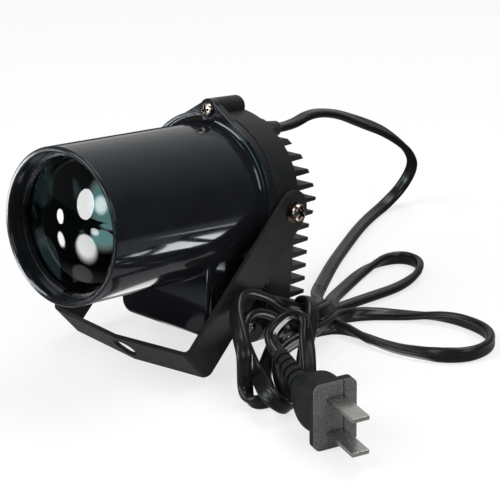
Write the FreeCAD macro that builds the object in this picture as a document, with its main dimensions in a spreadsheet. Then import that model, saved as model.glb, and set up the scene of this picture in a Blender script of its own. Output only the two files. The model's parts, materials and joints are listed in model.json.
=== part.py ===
import FreeCAD, Part
import math
import os

import Sketcher

# Pinspot light on a strap yoke, standing on its two rear feet and the middle of its yoke, with a
# flat twin cord in loose loops beside it.
# Row frame: +Z up from the surface, the barrel points along -Y, the pivot runs along X, and the
# origin is on the surface under the middle of the light without its cord.
# Head frame: Y along the barrel's axis, with 0 at the front of the flange, Z up at the head's top.
# Yoke frame: origin on the pivot, Z along the arms, away from the base.
# All lengths are in millimetres and all angles in degrees.

Vector = FreeCAD.Vector
Placement = FreeCAD.Placement
Rotation = FreeCAD.Rotation
X_AXIS = Vector(1, 0, 0)
Y_AXIS = Vector(0, 1, 0)
Z_AXIS = Vector(0, 0, 1)
UPRIGHT = Rotation()
ALONG_REAR = Rotation(X_AXIS, -90)
ALONG_FRONT = Rotation(X_AXIS, 90)
ALONG_RIGHT = Rotation(Y_AXIS, 90)
ALONG_LEFT = Rotation(Y_AXIS, -90)

SIZES = {
    # Common clearances
    "overrun": 2.0,
    "seat_gap": 0.05,
    "running_gap": 0.3,
    # Stance
    "head_pitch": 7.5,
    # Barrel and front housing
    "barrel_length": 77.0,
    "barrel_step": 4.15,
    "barrel_taper": 1.0,
    "barrel_wall": 2.2,
    "rim_chamfer": 0.6,
    "root_fillet": 4.6,
    "flange_step": 0.35,
    "flange_thickness": 3.5,
    "box_depth": 18.65,
    "lip_width": 1.3,
    "dish_depth": 0.9,
    "box_front": 20.0,
    "box_inset": 10.0,
    "box_corner_radius": 5.5,
    "box_edge_radius": 1.6,
    "box_wall": 2.0,
    "top_ear_rise": 0.65,
    "top_ear_radius": 4.4,
    "top_ear_root_width": 25.0,
    "top_ear_root_drop": 1.5,
    "low_ear_inset": 5.6,
    "low_ear_lift": 2.6,
    "low_ear_radius": 6.7,
    "ear_screw_clearance": 0.2,
    # Lens and what holds it
    "ring_setback": 5.5,
    "ring_thickness": 2.4,
    "ring_wall": 1.7,
    "ring_notch_width": 5.0,
    "ring_notch_depth": 0.8,
    "lens_edge_thickness": 3.0,
    "lens_curve_radius": 72.0,
    "lens_inset": 2.65,
    "lens_seal_width": 1.6,
    "lens_seal_thickness": 1.4,
    "seat_depth": 1.6,
    "seat_step": 2.6,
    # Rear housing, a cast heat sink
    "gasket_thickness": 0.5,
    "gasket_inset": 0.5,
    "shell_radius": 34.75,
    "skirt_step": 1.25,
    "shell_wall": 3.0,
    "fin_root_distance": 17.4,
    "fin_step": 0.65,
    "fin_side_step": 0.2,
    "fin_pitch": 5.48,
    "fin_root_thickness": 2.3,
    "fin_tip_thickness": 1.25,
    "top_fin_inset": 4.8,
    "fin_reach_low": 26.9,
    "fin_reach_middle": 29.1,
    "fin_reach_upper": 25.3,
    "fin_reach_top": 19.9,
    "crown_low_height": -8.0,
    "crown_middle_height": 3.0,
    "crown_upper_height": 19.5,
    "crown_top_inset": 3.75,
    "boss_end_radius": 1.5,
    "rear_boss_reach": 18.0,
    "pedestal_radius": 10.5,
    "pedestal_distance": 7.4,
    # Light engine
    "pad_thickness": 0.3,
    "board_radius": 10.0,
    "board_thickness": 1.6,
    "emitter_width": 3.5,
    "emitter_height": 0.8,
    "emitter_dome_radius": 1.3,
    "collimator_length": 10.5,
    "collimator_mouth_radius": 9.6,
    "collimator_throat_radius": 3.4,
    "collimator_lip": 1.0,
    "holder_wall": 1.2,
    "board_screw_offset": 7.6,
    # Cover screws
    "cover_screw_radius": 1.5,
    "cover_screw_length": 13.0,
    "cover_head_radius": 2.8,
    "cover_head_height": 1.9,
    "recess_width": 1.0,
    "recess_depth": 1.5,
    # Pivot
    "pivot_setback": 11.45,
    "pivot_rise": 0.4,
    "pivot_screw_radius": 2.0,
    "pivot_screw_length": 9.0,
    "pivot_head_radius": 3.7,
    "pivot_head_height": 2.5,
    "insert_radius": 3.0,
    "insert_length": 7.5,
    "insert_boss_wall": 2.3,
    "insert_boss_floor": 2.95,
    "washer_radius": 4.5,
    "washer_thickness": 0.8,
    "spring_washer_radius": 3.6,
    "spring_washer_thickness": 0.9,
    "friction_washer_radius": 6.0,
    "friction_washer_thickness": 0.45,
    # Yoke, one bent strap
    "strap_width": 16.7,
    "strap_thickness": 1.6,
    "arm_gap": 0.1,
    "yoke_corner_reach": 72.9,
    "yoke_middle_reach": 75.6,
    "yoke_bend_radius": 3.4,
    "yoke_hole_radius": 5.25,
    "yoke_pivot_gap": 0.25,
    # Small screws of the two boards
    "small_screw_radius": 1.0,
    "small_head_radius": 1.9,
    "small_head_height": 1.2,
    "small_screw_length": 4.8,
    # Driver in the lower part of the housing
    "driver_half_width": 20.0,
    "driver_front_distance": -16.5,
    "driver_rear_distance": 12.0,
    "driver_clearance": 3.0,
    "driver_thickness": 1.6,
    "standoff_radius": 2.4,
    "standoff_offset": 14.0,
    "standoff_inset": 4.0,
    "transformer_width": 12.0,
    "transformer_depth": 10.0,
    "driver_top_gap": 1.55,
    "transformer_setback": 10.5,
    "core_width": 15.0,
    "core_height": 5.0,
    "winding_radius": 3.4,
    "capacitor_radius": 3.0,
    "capacitor_setback": 12.5,
    "capacitor_offset": 13.5,
    "choke_radius": 3.4,
    "choke_height": 6.0,
    "choke_offset": 10.0,
    "choke_setback": 19.5,
    "terminal_width": 10.0,
    "terminal_depth": 7.0,
    "terminal_step": 0.5,
    "terminal_offset": 6.0,
    "terminal_margin": 1.0,
    # Cord entry
    "entry_height": 23.5,
    "entry_boss_radius": 7.4,
    "entry_boss_reach": 26.6,
    "entry_hole_radius": 4.6,
    "gland_flange_radius": 6.4,
    "gland_flange_thickness": 1.8,
    "gland_dome_length": 5.2,
    "gland_dome_radius": 5.0,
    "gland_nut_radius": 6.4,
    "gland_nut_thickness": 2.6,
    "gland_end_thickness": 0.8,
    "jacket_radius": 2.9,
    "relief_reach": 43.0,
    "relief_root_radius": 3.9,
    "relief_tip_radius": 3.1,
    # Cord and wires
    "cord_radius": 1.8,
    "core_radius": 0.9,
    "core_spacing": 2.3,
    "core_run_offset": 16.0,
    "core_run_distance": 5.2,
    "lead_wire_radius": 0.55,
    "lead_wire_spacing": 2.4,
    "lead_wire_offset": 4.0,
    # Plug with two flat blades
    "plug_face_x": 103.9,
    "plug_face_y": -32.6,
    "plug_turn": -23.6,
    "plug_width": 16.5,
    "plug_height": 25.0,
    "plug_plate_thickness": 3.5,
    "plug_body_length": 18.5,
    "plug_corner_radius": 2.6,
    "plug_waist_width": 12.5,
    "plug_waist_height": 17.0,
    "plug_belly_distance": 13.0,
    "plug_belly_width": 14.5,
    "plug_belly_height": 19.5,
    "plug_rear_width": 11.0,
    "plug_rear_height": 12.0,
    "plug_body_radius": 4.0,
    "plug_relief_length": 20.0,
    "plug_relief_rise": 15.0,
    "plug_relief_root_radius": 4.0,
    "plug_relief_tip_radius": 3.0,
    "plug_groove_width": 1.2,
    "plug_groove_depth": 0.8,
    "blade_spacing": 12.7,
    "blade_width": 6.35,
    "blade_thickness": 1.5,
    "blade_length": 17.2,
    "blade_grip_length": 6.0,
}

FIN_COUNT = 15
NOTCH_COUNT = 4
RELIEF_GROOVES = 5

doc = FreeCAD.newDocument("pinspot_light")
sheet = doc.addObject("Spreadsheet::Sheet", "sizes")


class Size:
    """A length or angle that carries its number and the formula that binds it to the sheet."""

    def __init__(self, number, formula):
        self.number = number
        self.formula = formula

    def __add__(self, other):
        other = as_size(other)
        return Size(self.number + other.number, f"({self.formula} + {other.formula})")

    def __radd__(self, other):
        return as_size(other) + self

    def __sub__(self, other):
        other = as_size(other)
        return Size(self.number - other.number, f"({self.formula} - {other.formula})")

    def __rsub__(self, other):
        return as_size(other) - self

    def __mul__(self, other):
        other = as_size(other)
        return Size(self.number * other.number, f"({self.formula} * {other.formula})")

    __rmul__ = __mul__

    def __truediv__(self, other):
        other = as_size(other)
        return Size(self.number / other.number, f"({self.formula} / {other.formula})")

    def __neg__(self):
        return Size(-self.number, f"(0 - {self.formula})")

    def __float__(self):
        return float(self.number)


def as_size(value):
    """A Size as it is, and a plain number as a Size of that number."""
    return value if isinstance(value, Size) else Size(float(value), repr(float(value)))


class Sheet:
    """Gives each cell of the sheet as a Size, by its alias."""

    def __getattr__(self, alias):
        return Size(SIZES[alias], f"sizes.{alias}")


s = Sheet()


def fill_sheet():
    """Writes the driving sizes into the sheet, each as a plain number with its alias."""
    for row, (alias, value) in enumerate(SIZES.items(), start=1):
        sheet.set(f"A{row}", alias)
        sheet.set(f"B{row}", str(value))
        sheet.setAlias(f"B{row}", alias)
    doc.recompute()


def bind(thing, **properties):
    """Binds properties of an object to sizes."""
    for name, value in properties.items():
        thing.setExpression(name, as_size(value).formula)


def bind_place(thing, x=0, y=0, z=0, rotation=UPRIGHT, path="Placement"):
    """Binds the place of an object, or the offset of a sketch, to sizes."""
    place = Placement(Vector(float(x), float(y), float(z)), rotation)
    setattr(thing, path, place)
    for letter, value in (("x", x), ("y", y), ("z", z)):
        if isinstance(value, Size):
            thing.setExpression(f"{path}.Base.{letter}", value.formula)


# Part primitives

def cylinder(name, radius, length, x=0, y=0, z=0, rotation=ALONG_REAR):
    """A cylinder from a point, along +Y unless it is turned."""
    thing = doc.addObject("Part::Cylinder", name)
    bind(thing, Radius=radius, Height=length)
    bind_place(thing, x, y, z, rotation)
    return thing


def cone(name, start_radius, end_radius, length, x=0, y=0, z=0, rotation=ALONG_REAR):
    """A cone from a point, along +Y unless it is turned."""
    thing = doc.addObject("Part::Cone", name)
    bind(thing, Radius1=start_radius, Radius2=end_radius, Height=length)
    bind_place(thing, x, y, z, rotation)
    return thing


def sphere(name, radius, x=0, y=0, z=0):
    """A ball about a point."""
    thing = doc.addObject("Part::Sphere", name)
    bind(thing, Radius=radius)
    bind_place(thing, x, y, z)
    return thing


def box(name, width, depth, height, x=0, y=0, z=0):
    """A block of a width along X, depth along Y and height along Z, centred on X and Y."""
    thing = doc.addObject("Part::Box", name)
    bind(thing, Length=width, Width=depth, Height=height)
    bind_place(thing, as_size(x) - as_size(width) / 2, as_size(y) - as_size(depth) / 2, z)
    return thing


def fuse(name, *pieces):
    """The union of pieces."""
    thing = doc.addObject("Part::MultiFuse", name)
    thing.Shapes = list(pieces)
    return thing


def cut(name, base, *tools):
    """A piece less its tools."""
    for number, tool in enumerate(tools, start=1):
        result = doc.addObject("Part::Cut", name if number == len(tools) else f"{name}_cut_{number}")
        result.Base = base
        result.Tool = tool
        base = result
    return base


def common(name, *pieces):
    """What pieces share."""
    thing = doc.addObject("Part::MultiCommon", name)
    thing.Shapes = list(pieces)
    return thing


def group(name, *pieces):
    """Like pieces kept as separate solids."""
    thing = doc.addObject("Part::Compound", name)
    thing.Links = list(pieces)
    return thing


# Sketches and features of bodies

PLANES = {"XZ": "XZ_Plane", "YZ": "YZ_Plane", "XY": "XY_Plane"}


def new_body(name):
    """An empty body."""
    return doc.addObject("PartDesign::Body", name)


def new_sketch(body, name, plane, offset=0, up=0):
    """A sketch on one of its body's origin planes, moved along the plane's normal and up in it."""
    sketch = body.newObject("Sketcher::SketchObject", name)
    role = PLANES[plane]
    origin_plane = [part for part in body.Origin.OriginFeatures if part.Role == role][0]
    sketch.AttachmentSupport = [(origin_plane, "")]
    sketch.MapMode = "FlatFace"
    bind_place(sketch, y=as_size(up), z=as_size(offset), path="AttachmentOffset")
    return sketch


def pin_point(sketch, geometry, point, x, y):
    """Holds a point of a sketch at a distance from the sketch's origin, bound to sizes."""
    for kind, value, axis in (("DistanceX", as_size(x), -2), ("DistanceY", as_size(y), -1)):
        if abs(value.number) < 1e-9:
            sketch.addConstraint(Sketcher.Constraint("PointOnObject", geometry, point, axis))
            continue
        ends = (-1, 1, geometry, point) if value.number > 0 else (geometry, point, -1, 1)
        index = sketch.addConstraint(Sketcher.Constraint(kind, *ends, abs(value.number)))
        sketch.renameConstraint(index, f"{kind}_{geometry}_{point}")
        formula = value.formula if value.number > 0 else (-value).formula
        sketch.setExpression(f"Constraints.{kind}_{geometry}_{point}", formula)


def polygon(sketch, corners):
    """Adds a closed outline of straight edges, with each corner bound to sizes."""
    points = [Vector(float(x), float(y), 0) for x, y in corners]
    count = len(points)
    first = sketch.GeometryCount
    for i in range(count):
        sketch.addGeometry(Part.LineSegment(points[i], points[(i + 1) % count]))
    for i in range(count):
        after = first + (i + 1) % count
        sketch.addConstraint(Sketcher.Constraint("Coincident", first + i, 2, after, 1))
    for i, (x, y) in enumerate(corners):
        pin_point(sketch, first + i, 1, x, y)


def circle(sketch, x, y, radius):
    """Adds a circle with its centre and radius bound to sizes."""
    radius = as_size(radius)
    index = sketch.addGeometry(Part.Circle(Vector(float(x), float(y), 0), Z_AXIS, radius.number))
    held = sketch.addConstraint(Sketcher.Constraint("Radius", index, radius.number))
    sketch.renameConstraint(held, f"Radius_{index}")
    sketch.setExpression(f"Constraints.Radius_{index}", radius.formula)
    pin_point(sketch, index, 3, x, y)


def rectangle(sketch, low_x, low_y, high_x, high_y):
    """Adds a rectangle between two corners bound to sizes."""
    polygon(sketch, [(low_x, low_y), (high_x, low_y), (high_x, high_y), (low_x, high_y)])


def run(sketch, start, end):
    """Adds a straight edge with both ends bound to sizes, and gives its number."""
    index = sketch.addGeometry(Part.LineSegment(Vector(float(start[0]), float(start[1]), 0),
                                                Vector(float(end[0]), float(end[1]), 0)))
    pin_point(sketch, index, 1, *start)
    pin_point(sketch, index, 2, *end)
    return index


def corner_arc(sketch, before, after, centre, radius, quarter):
    """Adds a quarter round between two edges; it starts at a number of quarter turns."""
    ring = Part.Circle(Vector(float(centre[0]), float(centre[1]), 0), Z_AXIS, float(radius))
    first = quarter * math.pi / 2
    index = sketch.addGeometry(Part.ArcOfCircle(ring, first, first + math.pi / 2))
    sketch.addConstraint(Sketcher.Constraint("Coincident", index, 1, *before))
    sketch.addConstraint(Sketcher.Constraint("Coincident", index, 2, *after))
    held = sketch.addConstraint(Sketcher.Constraint("Radius", index, float(radius)))
    sketch.renameConstraint(held, f"Radius_{index}")
    sketch.setExpression(f"Constraints.Radius_{index}", radius.formula)


def low_rounded_rectangle(sketch, half_width, bottom, top, radius):
    """Adds a rectangle centred on X whose two lower corners are rounded."""
    left = run(sketch, (-half_width, top), (-half_width, bottom + radius))
    low = run(sketch, (radius - half_width, bottom), (half_width - radius, bottom))
    right = run(sketch, (half_width, bottom + radius), (half_width, top))
    run(sketch, (half_width, top), (-half_width, top))
    level = bottom + radius
    corner_arc(sketch, (left, 2), (low, 1), (radius - half_width, level), radius, 2)
    corner_arc(sketch, (low, 2), (right, 1), (half_width - radius, level), radius, 3)


def bullet(sketch, start, end, radius, end_radius):
    """Adds half the section of a round boss along the sketch's X, with a rounded end."""
    zero = Size(0.0, "0.0")
    base = run(sketch, (end, zero), (start, zero))
    run(sketch, (start, zero), (start, radius))
    side = run(sketch, (start, radius), (end - end_radius, radius))
    face = run(sketch, (end, radius - end_radius), (end, zero))
    corner_arc(sketch, (face, 1), (side, 2), (end - end_radius, radius - end_radius), end_radius, 0)
    return base


def feature(body, kind, name, sketch, **properties):
    """A feature made from a sketch, with its sizes bound and its body's shape worked out."""
    thing = body.newObject(kind, name)
    thing.Profile = sketch
    for key, value in properties.items():
        if isinstance(value, Size):
            thing.setExpression(key, value.formula)
        else:
            setattr(thing, key, value)
    doc.recompute()
    return thing


def pad_rear(body, name, sketch, length):
    """Adds material from a sketch on the XZ plane towards +Y."""
    return feature(body, "PartDesign::Pad", name, sketch, Length=length, Reversed=True)


def pad_front(body, name, sketch, length):
    """Adds material from a sketch on the XZ plane towards -Y."""
    return feature(body, "PartDesign::Pad", name, sketch, Length=length)


def pocket_rear(body, name, sketch, length):
    """Cuts from a sketch on the XZ plane towards +Y."""
    return feature(body, "PartDesign::Pocket", name, sketch, Length=length)


def pocket_front(body, name, sketch, length):
    """Cuts from a sketch on the XZ plane towards -Y."""
    return feature(body, "PartDesign::Pocket", name, sketch, Length=length, Reversed=True)


def pocket_across(body, name, sketch):
    """Cuts a sketch on the YZ or XZ plane right through, both ways."""
    return feature(body, "PartDesign::Pocket", name, sketch, Type="ThroughAll", Midplane=True)


def revolve(body, name, sketch, axis="H_Axis", kind="PartDesign::Revolution"):
    """Turns a sketch a full turn about one of its own axes."""
    thing = feature(body, kind, name, sketch)
    thing.ReferenceAxis = (sketch, [axis])
    thing.Angle = 360
    doc.recompute()
    return thing


def edges_where(thing, test):
    """The names of a feature's edges whose middle, direction and curve pass a test."""
    names = []
    for number, edge in enumerate(thing.Shape.Edges, start=1):
        middle = edge.valueAt((edge.FirstParameter + edge.LastParameter) / 2)
        if test(edge, middle):
            names.append(f"Edge{number}")
    return names


def round_edges(body, name, base, test, radius, kind="PartDesign::Fillet"):
    """Rounds, or chamfers, the edges of a feature that pass a test."""
    names = edges_where(base, test)
    if not names:
        raise RuntimeError(f"{name} found no edge")
    thing = body.newObject(kind, name)
    thing.Base = (base, names)
    thing.setExpression("Size" if kind.endswith("Chamfer") else "Radius", as_size(radius).formula)
    doc.recompute()
    return thing


def near(value, size, reach=0.05):
    """Whether a number is at a size."""
    return abs(value - float(size)) < reach


def straight(edge, axis):
    """Whether an edge is a straight line along an axis."""
    if not isinstance(edge.Curve, Part.Line):
        return False
    run = edge.Vertexes[-1].Point - edge.Vertexes[0].Point
    return run.Length > 0 and abs(run.normalize().dot(axis)) > 1 - 1e-6


# Sizes and places worked out from the driving sizes

flange_radius = s.shell_radius - s.flange_step
shell_half_width = s.shell_radius - s.skirt_step
flange_half_width = shell_half_width
root_radius = flange_radius - s.barrel_step
rim_radius = root_radius - s.barrel_taper
flange_drop = root_radius + s.box_depth
top_ear_height = s.shell_radius + s.top_ear_rise
low_ear_side = shell_half_width - s.low_ear_inset
low_ear_drop = flange_drop - s.low_ear_lift
box_half_width = shell_half_width - s.box_inset
fin_radius = s.shell_radius - s.fin_step
fin_half_width = shell_half_width - s.fin_side_step
top_fin_height = s.shell_radius - s.top_fin_inset
crown_top_height = s.shell_radius - s.crown_top_inset
lens_radius = rim_radius - s.lens_inset
yoke_half_span = s.shell_radius + s.friction_washer_thickness + s.arm_gap + s.strap_thickness
driver_room = s.box_depth - 2 * s.box_wall - s.driver_clearance - s.driver_thickness
transformer_height = driver_room - s.driver_top_gap
capacitor_length = driver_room - s.driver_top_gap
terminal_height = transformer_height - s.terminal_step
shell_front = s.flange_thickness + s.gasket_thickness
shell_floor = s.fin_root_distance - s.shell_wall
ring_front = s.ring_setback - s.barrel_length
ring_back = ring_front + s.ring_thickness
lens_back = ring_back + s.lens_edge_thickness
seat_front = lens_back + s.lens_seal_thickness
bore_radius = rim_radius - s.barrel_wall
ring_radius = bore_radius - s.seat_gap
box_floor = -(flange_drop - s.box_wall)
board_bottom = box_floor + s.driver_clearance
board_top = board_bottom + s.driver_thickness
board_back = s.pedestal_distance - s.pad_thickness
board_front = board_back - s.board_thickness
arm_inner = yoke_half_span - s.strap_thickness
EARS = [(Size(0.0, "0.0"), top_ear_height, s.top_ear_radius, "top"),
        (low_ear_side, -low_ear_drop, s.low_ear_radius, "right"),
        (-low_ear_side, -low_ear_drop, s.low_ear_radius, "left")]


def turn(y, z, angle):
    """A point of the YZ plane turned about X."""
    c = math.cos(math.radians(angle))
    n = math.sin(math.radians(angle))
    return y * c - z * n, y * n + z * c


def stance():
    """The pivot's place over the surface, and the turns of the head and the yoke about X.

    The head is pitched nose up by its driving angle and stands on the rounded ends of its two
    lower bosses. The yoke swings forward until the middle of its base touches the surface.
    """
    pitch = SIZES["head_pitch"]
    end = SIZES["boss_end_radius"]
    foot_y = SIZES["rear_boss_reach"] - end - SIZES["pivot_setback"]
    foot_z = -(float(low_ear_drop) + SIZES["low_ear_radius"] - end) - SIZES["pivot_rise"]
    height = end - turn(foot_y, foot_z, -pitch)[1]
    reach = SIZES["yoke_middle_reach"]
    half = SIZES["strap_width"] / 2
    lean = math.degrees(math.acos(height / math.hypot(reach, half)) + math.atan2(half, reach))
    front = turn(-SIZES["barrel_length"] - SIZES["pivot_setback"],
                 -float(rim_radius) + SIZES["rim_chamfer"] - SIZES["pivot_rise"], -pitch)[0]
    rear = turn(SIZES["relief_reach"] - SIZES["pivot_setback"],
                SIZES["entry_height"] + SIZES["relief_tip_radius"] - SIZES["pivot_rise"], -pitch)[0]
    return Vector(0, -(front + rear) / 2, height), -pitch, -lean


PIVOT, HEAD_TURN, YOKE_TURN = stance()
head_rotation = Rotation(X_AXIS, HEAD_TURN)
pivot_in_head = Vector(0, SIZES["pivot_setback"], SIZES["pivot_rise"])
HEAD = Placement(PIVOT - head_rotation.multVec(pivot_in_head), head_rotation)
YOKE = Placement(PIVOT, Rotation(X_AXIS, YOKE_TURN))

pieces = {}


def keep(name, thing, place):
    """Names a sub-part and puts it in its place."""
    thing.Label = name
    thing.Placement = place
    pieces[name] = thing


# Front housing: barrel, flange with a raised lip, and the box under the barrel

def flange_outline(sketch, inset):
    """The flange's rounded top as a circle, drawn smaller by an inset."""
    circle(sketch, 0, 0, flange_radius - inset)


def flange_skirt(sketch, inset):
    """The flange's straight lower part, drawn smaller by an inset."""
    side = flange_half_width - inset
    rectangle(sketch, -side, -(flange_drop - inset), side, Size(0.0, "0.0"))


def front_housing():
    """The glossy front moulding."""
    body = new_body("front_housing")
    plate = new_sketch(body, "flange_circle", "XZ")
    flange_outline(plate, 0)
    pad_rear(body, "flange", plate, s.flange_thickness)
    skirt = new_sketch(body, "flange_skirt", "XZ")
    flange_skirt(skirt, 0)
    pad_rear(body, "skirt", skirt, s.flange_thickness)
    dish = new_sketch(body, "dish_circle", "XZ")
    flange_outline(dish, s.lip_width)
    pocket_rear(body, "dish", dish, s.dish_depth)
    low_dish = new_sketch(body, "dish_skirt", "XZ")
    flange_skirt(low_dish, s.lip_width)
    pocket_rear(body, "low_dish", low_dish, s.dish_depth)
    for x, z, radius, side in EARS:
        ear = new_sketch(body, f"{side}_ear_circle", "XZ")
        circle(ear, x, z, radius)
        pad_rear(body, f"{side}_ear", ear, s.flange_thickness)
    neck = new_sketch(body, "top_ear_neck_outline", "XZ")
    base_z = flange_radius - s.lip_width * 0.7
    root_z = base_z - s.top_ear_root_drop
    neck_top = top_ear_height + s.top_ear_radius * 0.75
    polygon(neck, [(Size(0.0, "0.0"), base_z), (s.top_ear_root_width / 2, root_z),
                   (s.top_ear_radius / 2, neck_top), (-s.top_ear_radius / 2, neck_top),
                   (-s.top_ear_root_width / 2, root_z)])
    pad_rear(body, "top_ear_neck", neck, s.flange_thickness)
    case = new_sketch(body, "box_outline", "XZ", -s.flange_thickness)
    low_rounded_rectangle(case, box_half_width, -flange_drop, Size(0.0, "0.0"),
                          s.box_corner_radius)
    lower = pad_front(body, "box", case, s.box_front + s.flange_thickness)
    front = -SIZES["box_front"]
    round_edges(body, "box_edges", lower,
                lambda e, m: near(m.y, front) and m.z < -SIZES["overrun"], s.box_edge_radius)
    drum = new_sketch(body, "barrel_profile", "YZ")
    polygon(drum, [(s.flange_thickness, Size(0.0, "0.0")), (s.flange_thickness, root_radius),
                   (s.dish_depth, root_radius), (-s.barrel_length, rim_radius),
                   (-s.barrel_length, Size(0.0, "0.0"))])
    barrel = revolve(body, "barrel", drum)
    root = float(root_radius)
    dish_y = SIZES["dish_depth"]
    barrel = round_edges(body, "barrel_root", barrel,
                         lambda e, m: near(m.y, dish_y)
                         and near(math.hypot(m.x, m.z), root, 0.2) and e.Length > root,
                         s.root_fillet / 2)
    bore = new_sketch(body, "bore_profile", "YZ")
    seat_radius = bore_radius - s.seat_step
    back_radius = root_radius - s.barrel_wall
    polygon(bore, [(-(s.barrel_length + s.overrun), Size(0.0, "0.0")),
                   (-(s.barrel_length + s.overrun), bore_radius + s.rim_chamfer),
                   (-s.barrel_length, bore_radius + s.rim_chamfer),
                   (s.rim_chamfer - s.barrel_length, bore_radius),
                   (seat_front, bore_radius), (seat_front, seat_radius),
                   (seat_front + s.seat_depth, seat_radius),
                   (seat_front + s.seat_depth, back_radius),
                   (s.flange_thickness + s.overrun, back_radius),
                   (s.flange_thickness + s.overrun, Size(0.0, "0.0"))])
    revolve(body, "bore", bore, kind="PartDesign::Groove")
    hollow = new_sketch(body, "box_hollow_outline", "XZ", -s.flange_thickness)
    side = box_half_width - s.box_wall
    deep = root_radius + s.box_wall
    polygon(hollow, [(-side, -(flange_drop - s.box_corner_radius)),
                     (-(box_half_width - s.box_corner_radius), box_floor),
                     (box_half_width - s.box_corner_radius, box_floor),
                     (side, -(flange_drop - s.box_corner_radius)),
                     (side, -deep), (-side, -deep)])
    pocket_front(body, "box_hollow", hollow, s.box_front + s.flange_thickness - s.box_wall)
    for x, z, radius, side in EARS:
        hole = new_sketch(body, f"{side}_screw_circle", "XZ")
        circle(hole, x, z, s.cover_screw_radius + s.ear_screw_clearance)
        feature(body, "PartDesign::Pocket", f"{side}_screw_hole", hole, Type="ThroughAll",
                Midplane=True)
    rim = float(rim_radius)
    last = body.Tip
    round_edges(body, "rim_chamfer", last,
                lambda e, m: near(m.y, -SIZES["barrel_length"]) and near(math.hypot(m.x, m.z), rim, 0.1),
                s.rim_chamfer, "PartDesign::Chamfer")
    keep("front_housing", body, HEAD)


# Lens, its retaining ring and its seal

def lens_parts():
    """The convex front lens between its ring and its seal."""
    blank = cylinder("lens_blank", lens_radius, s.barrel_length, y=lens_back,
                     rotation=ALONG_FRONT)
    edge_radius = ring_radius - s.ring_wall
    sag = s.lens_curve_radius.number - math.sqrt(
        s.lens_curve_radius.number ** 2 - edge_radius.number ** 2)
    dome = sphere("lens_dome", s.lens_curve_radius,
                  y=ring_back + s.lens_curve_radius - as_size(sag))
    dome_part = common("lens_dome_part", dome, cylinder(
        "lens_dome_core", edge_radius - s.seat_gap, s.barrel_length, y=ring_back + s.overrun,
        rotation=ALONG_FRONT))
    flat_part = cylinder("lens_flat", lens_radius, s.lens_edge_thickness, y=ring_back)
    trimmed = common("lens_trimmed", dome_part, blank)
    keep("front_lens", fuse("front_lens", flat_part, trimmed), HEAD)

    body = new_body("lens_ring")
    ring = new_sketch(body, "ring_circles", "XZ", -ring_front)
    circle(ring, 0, 0, ring_radius)
    circle(ring, 0, 0, edge_radius)
    pad_rear(body, "ring", ring, s.ring_thickness)
    notch = new_sketch(body, "notch_outline", "XZ", -ring_front)
    half = s.ring_notch_width / 2
    rectangle(notch, -half, edge_radius - s.overrun, half, edge_radius + s.ring_notch_depth)
    cut_notch = pocket_rear(body, "notch", notch, s.ring_thickness)
    pattern = body.newObject("PartDesign::PolarPattern", "notches")
    pattern.Originals = [cut_notch]
    pattern.Axis = (notch, ["N_Axis"])
    pattern.Angle = 360
    pattern.Occurrences = NOTCH_COUNT
    body.Tip = pattern
    doc.recompute()
    keep("lens_ring", body, HEAD)

    seal = cylinder("lens_seal_disc", ring_radius, s.lens_seal_thickness, y=lens_back)
    seal_hole = cylinder("lens_seal_hole", ring_radius - s.lens_seal_width,
                         s.lens_seal_thickness * 3, y=lens_back - s.lens_seal_thickness)
    keep("lens_seal", cut("lens_seal", seal, seal_hole), HEAD)


# Rear housing: a cast shell with fins, bosses and a pedestal for the light engine

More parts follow.
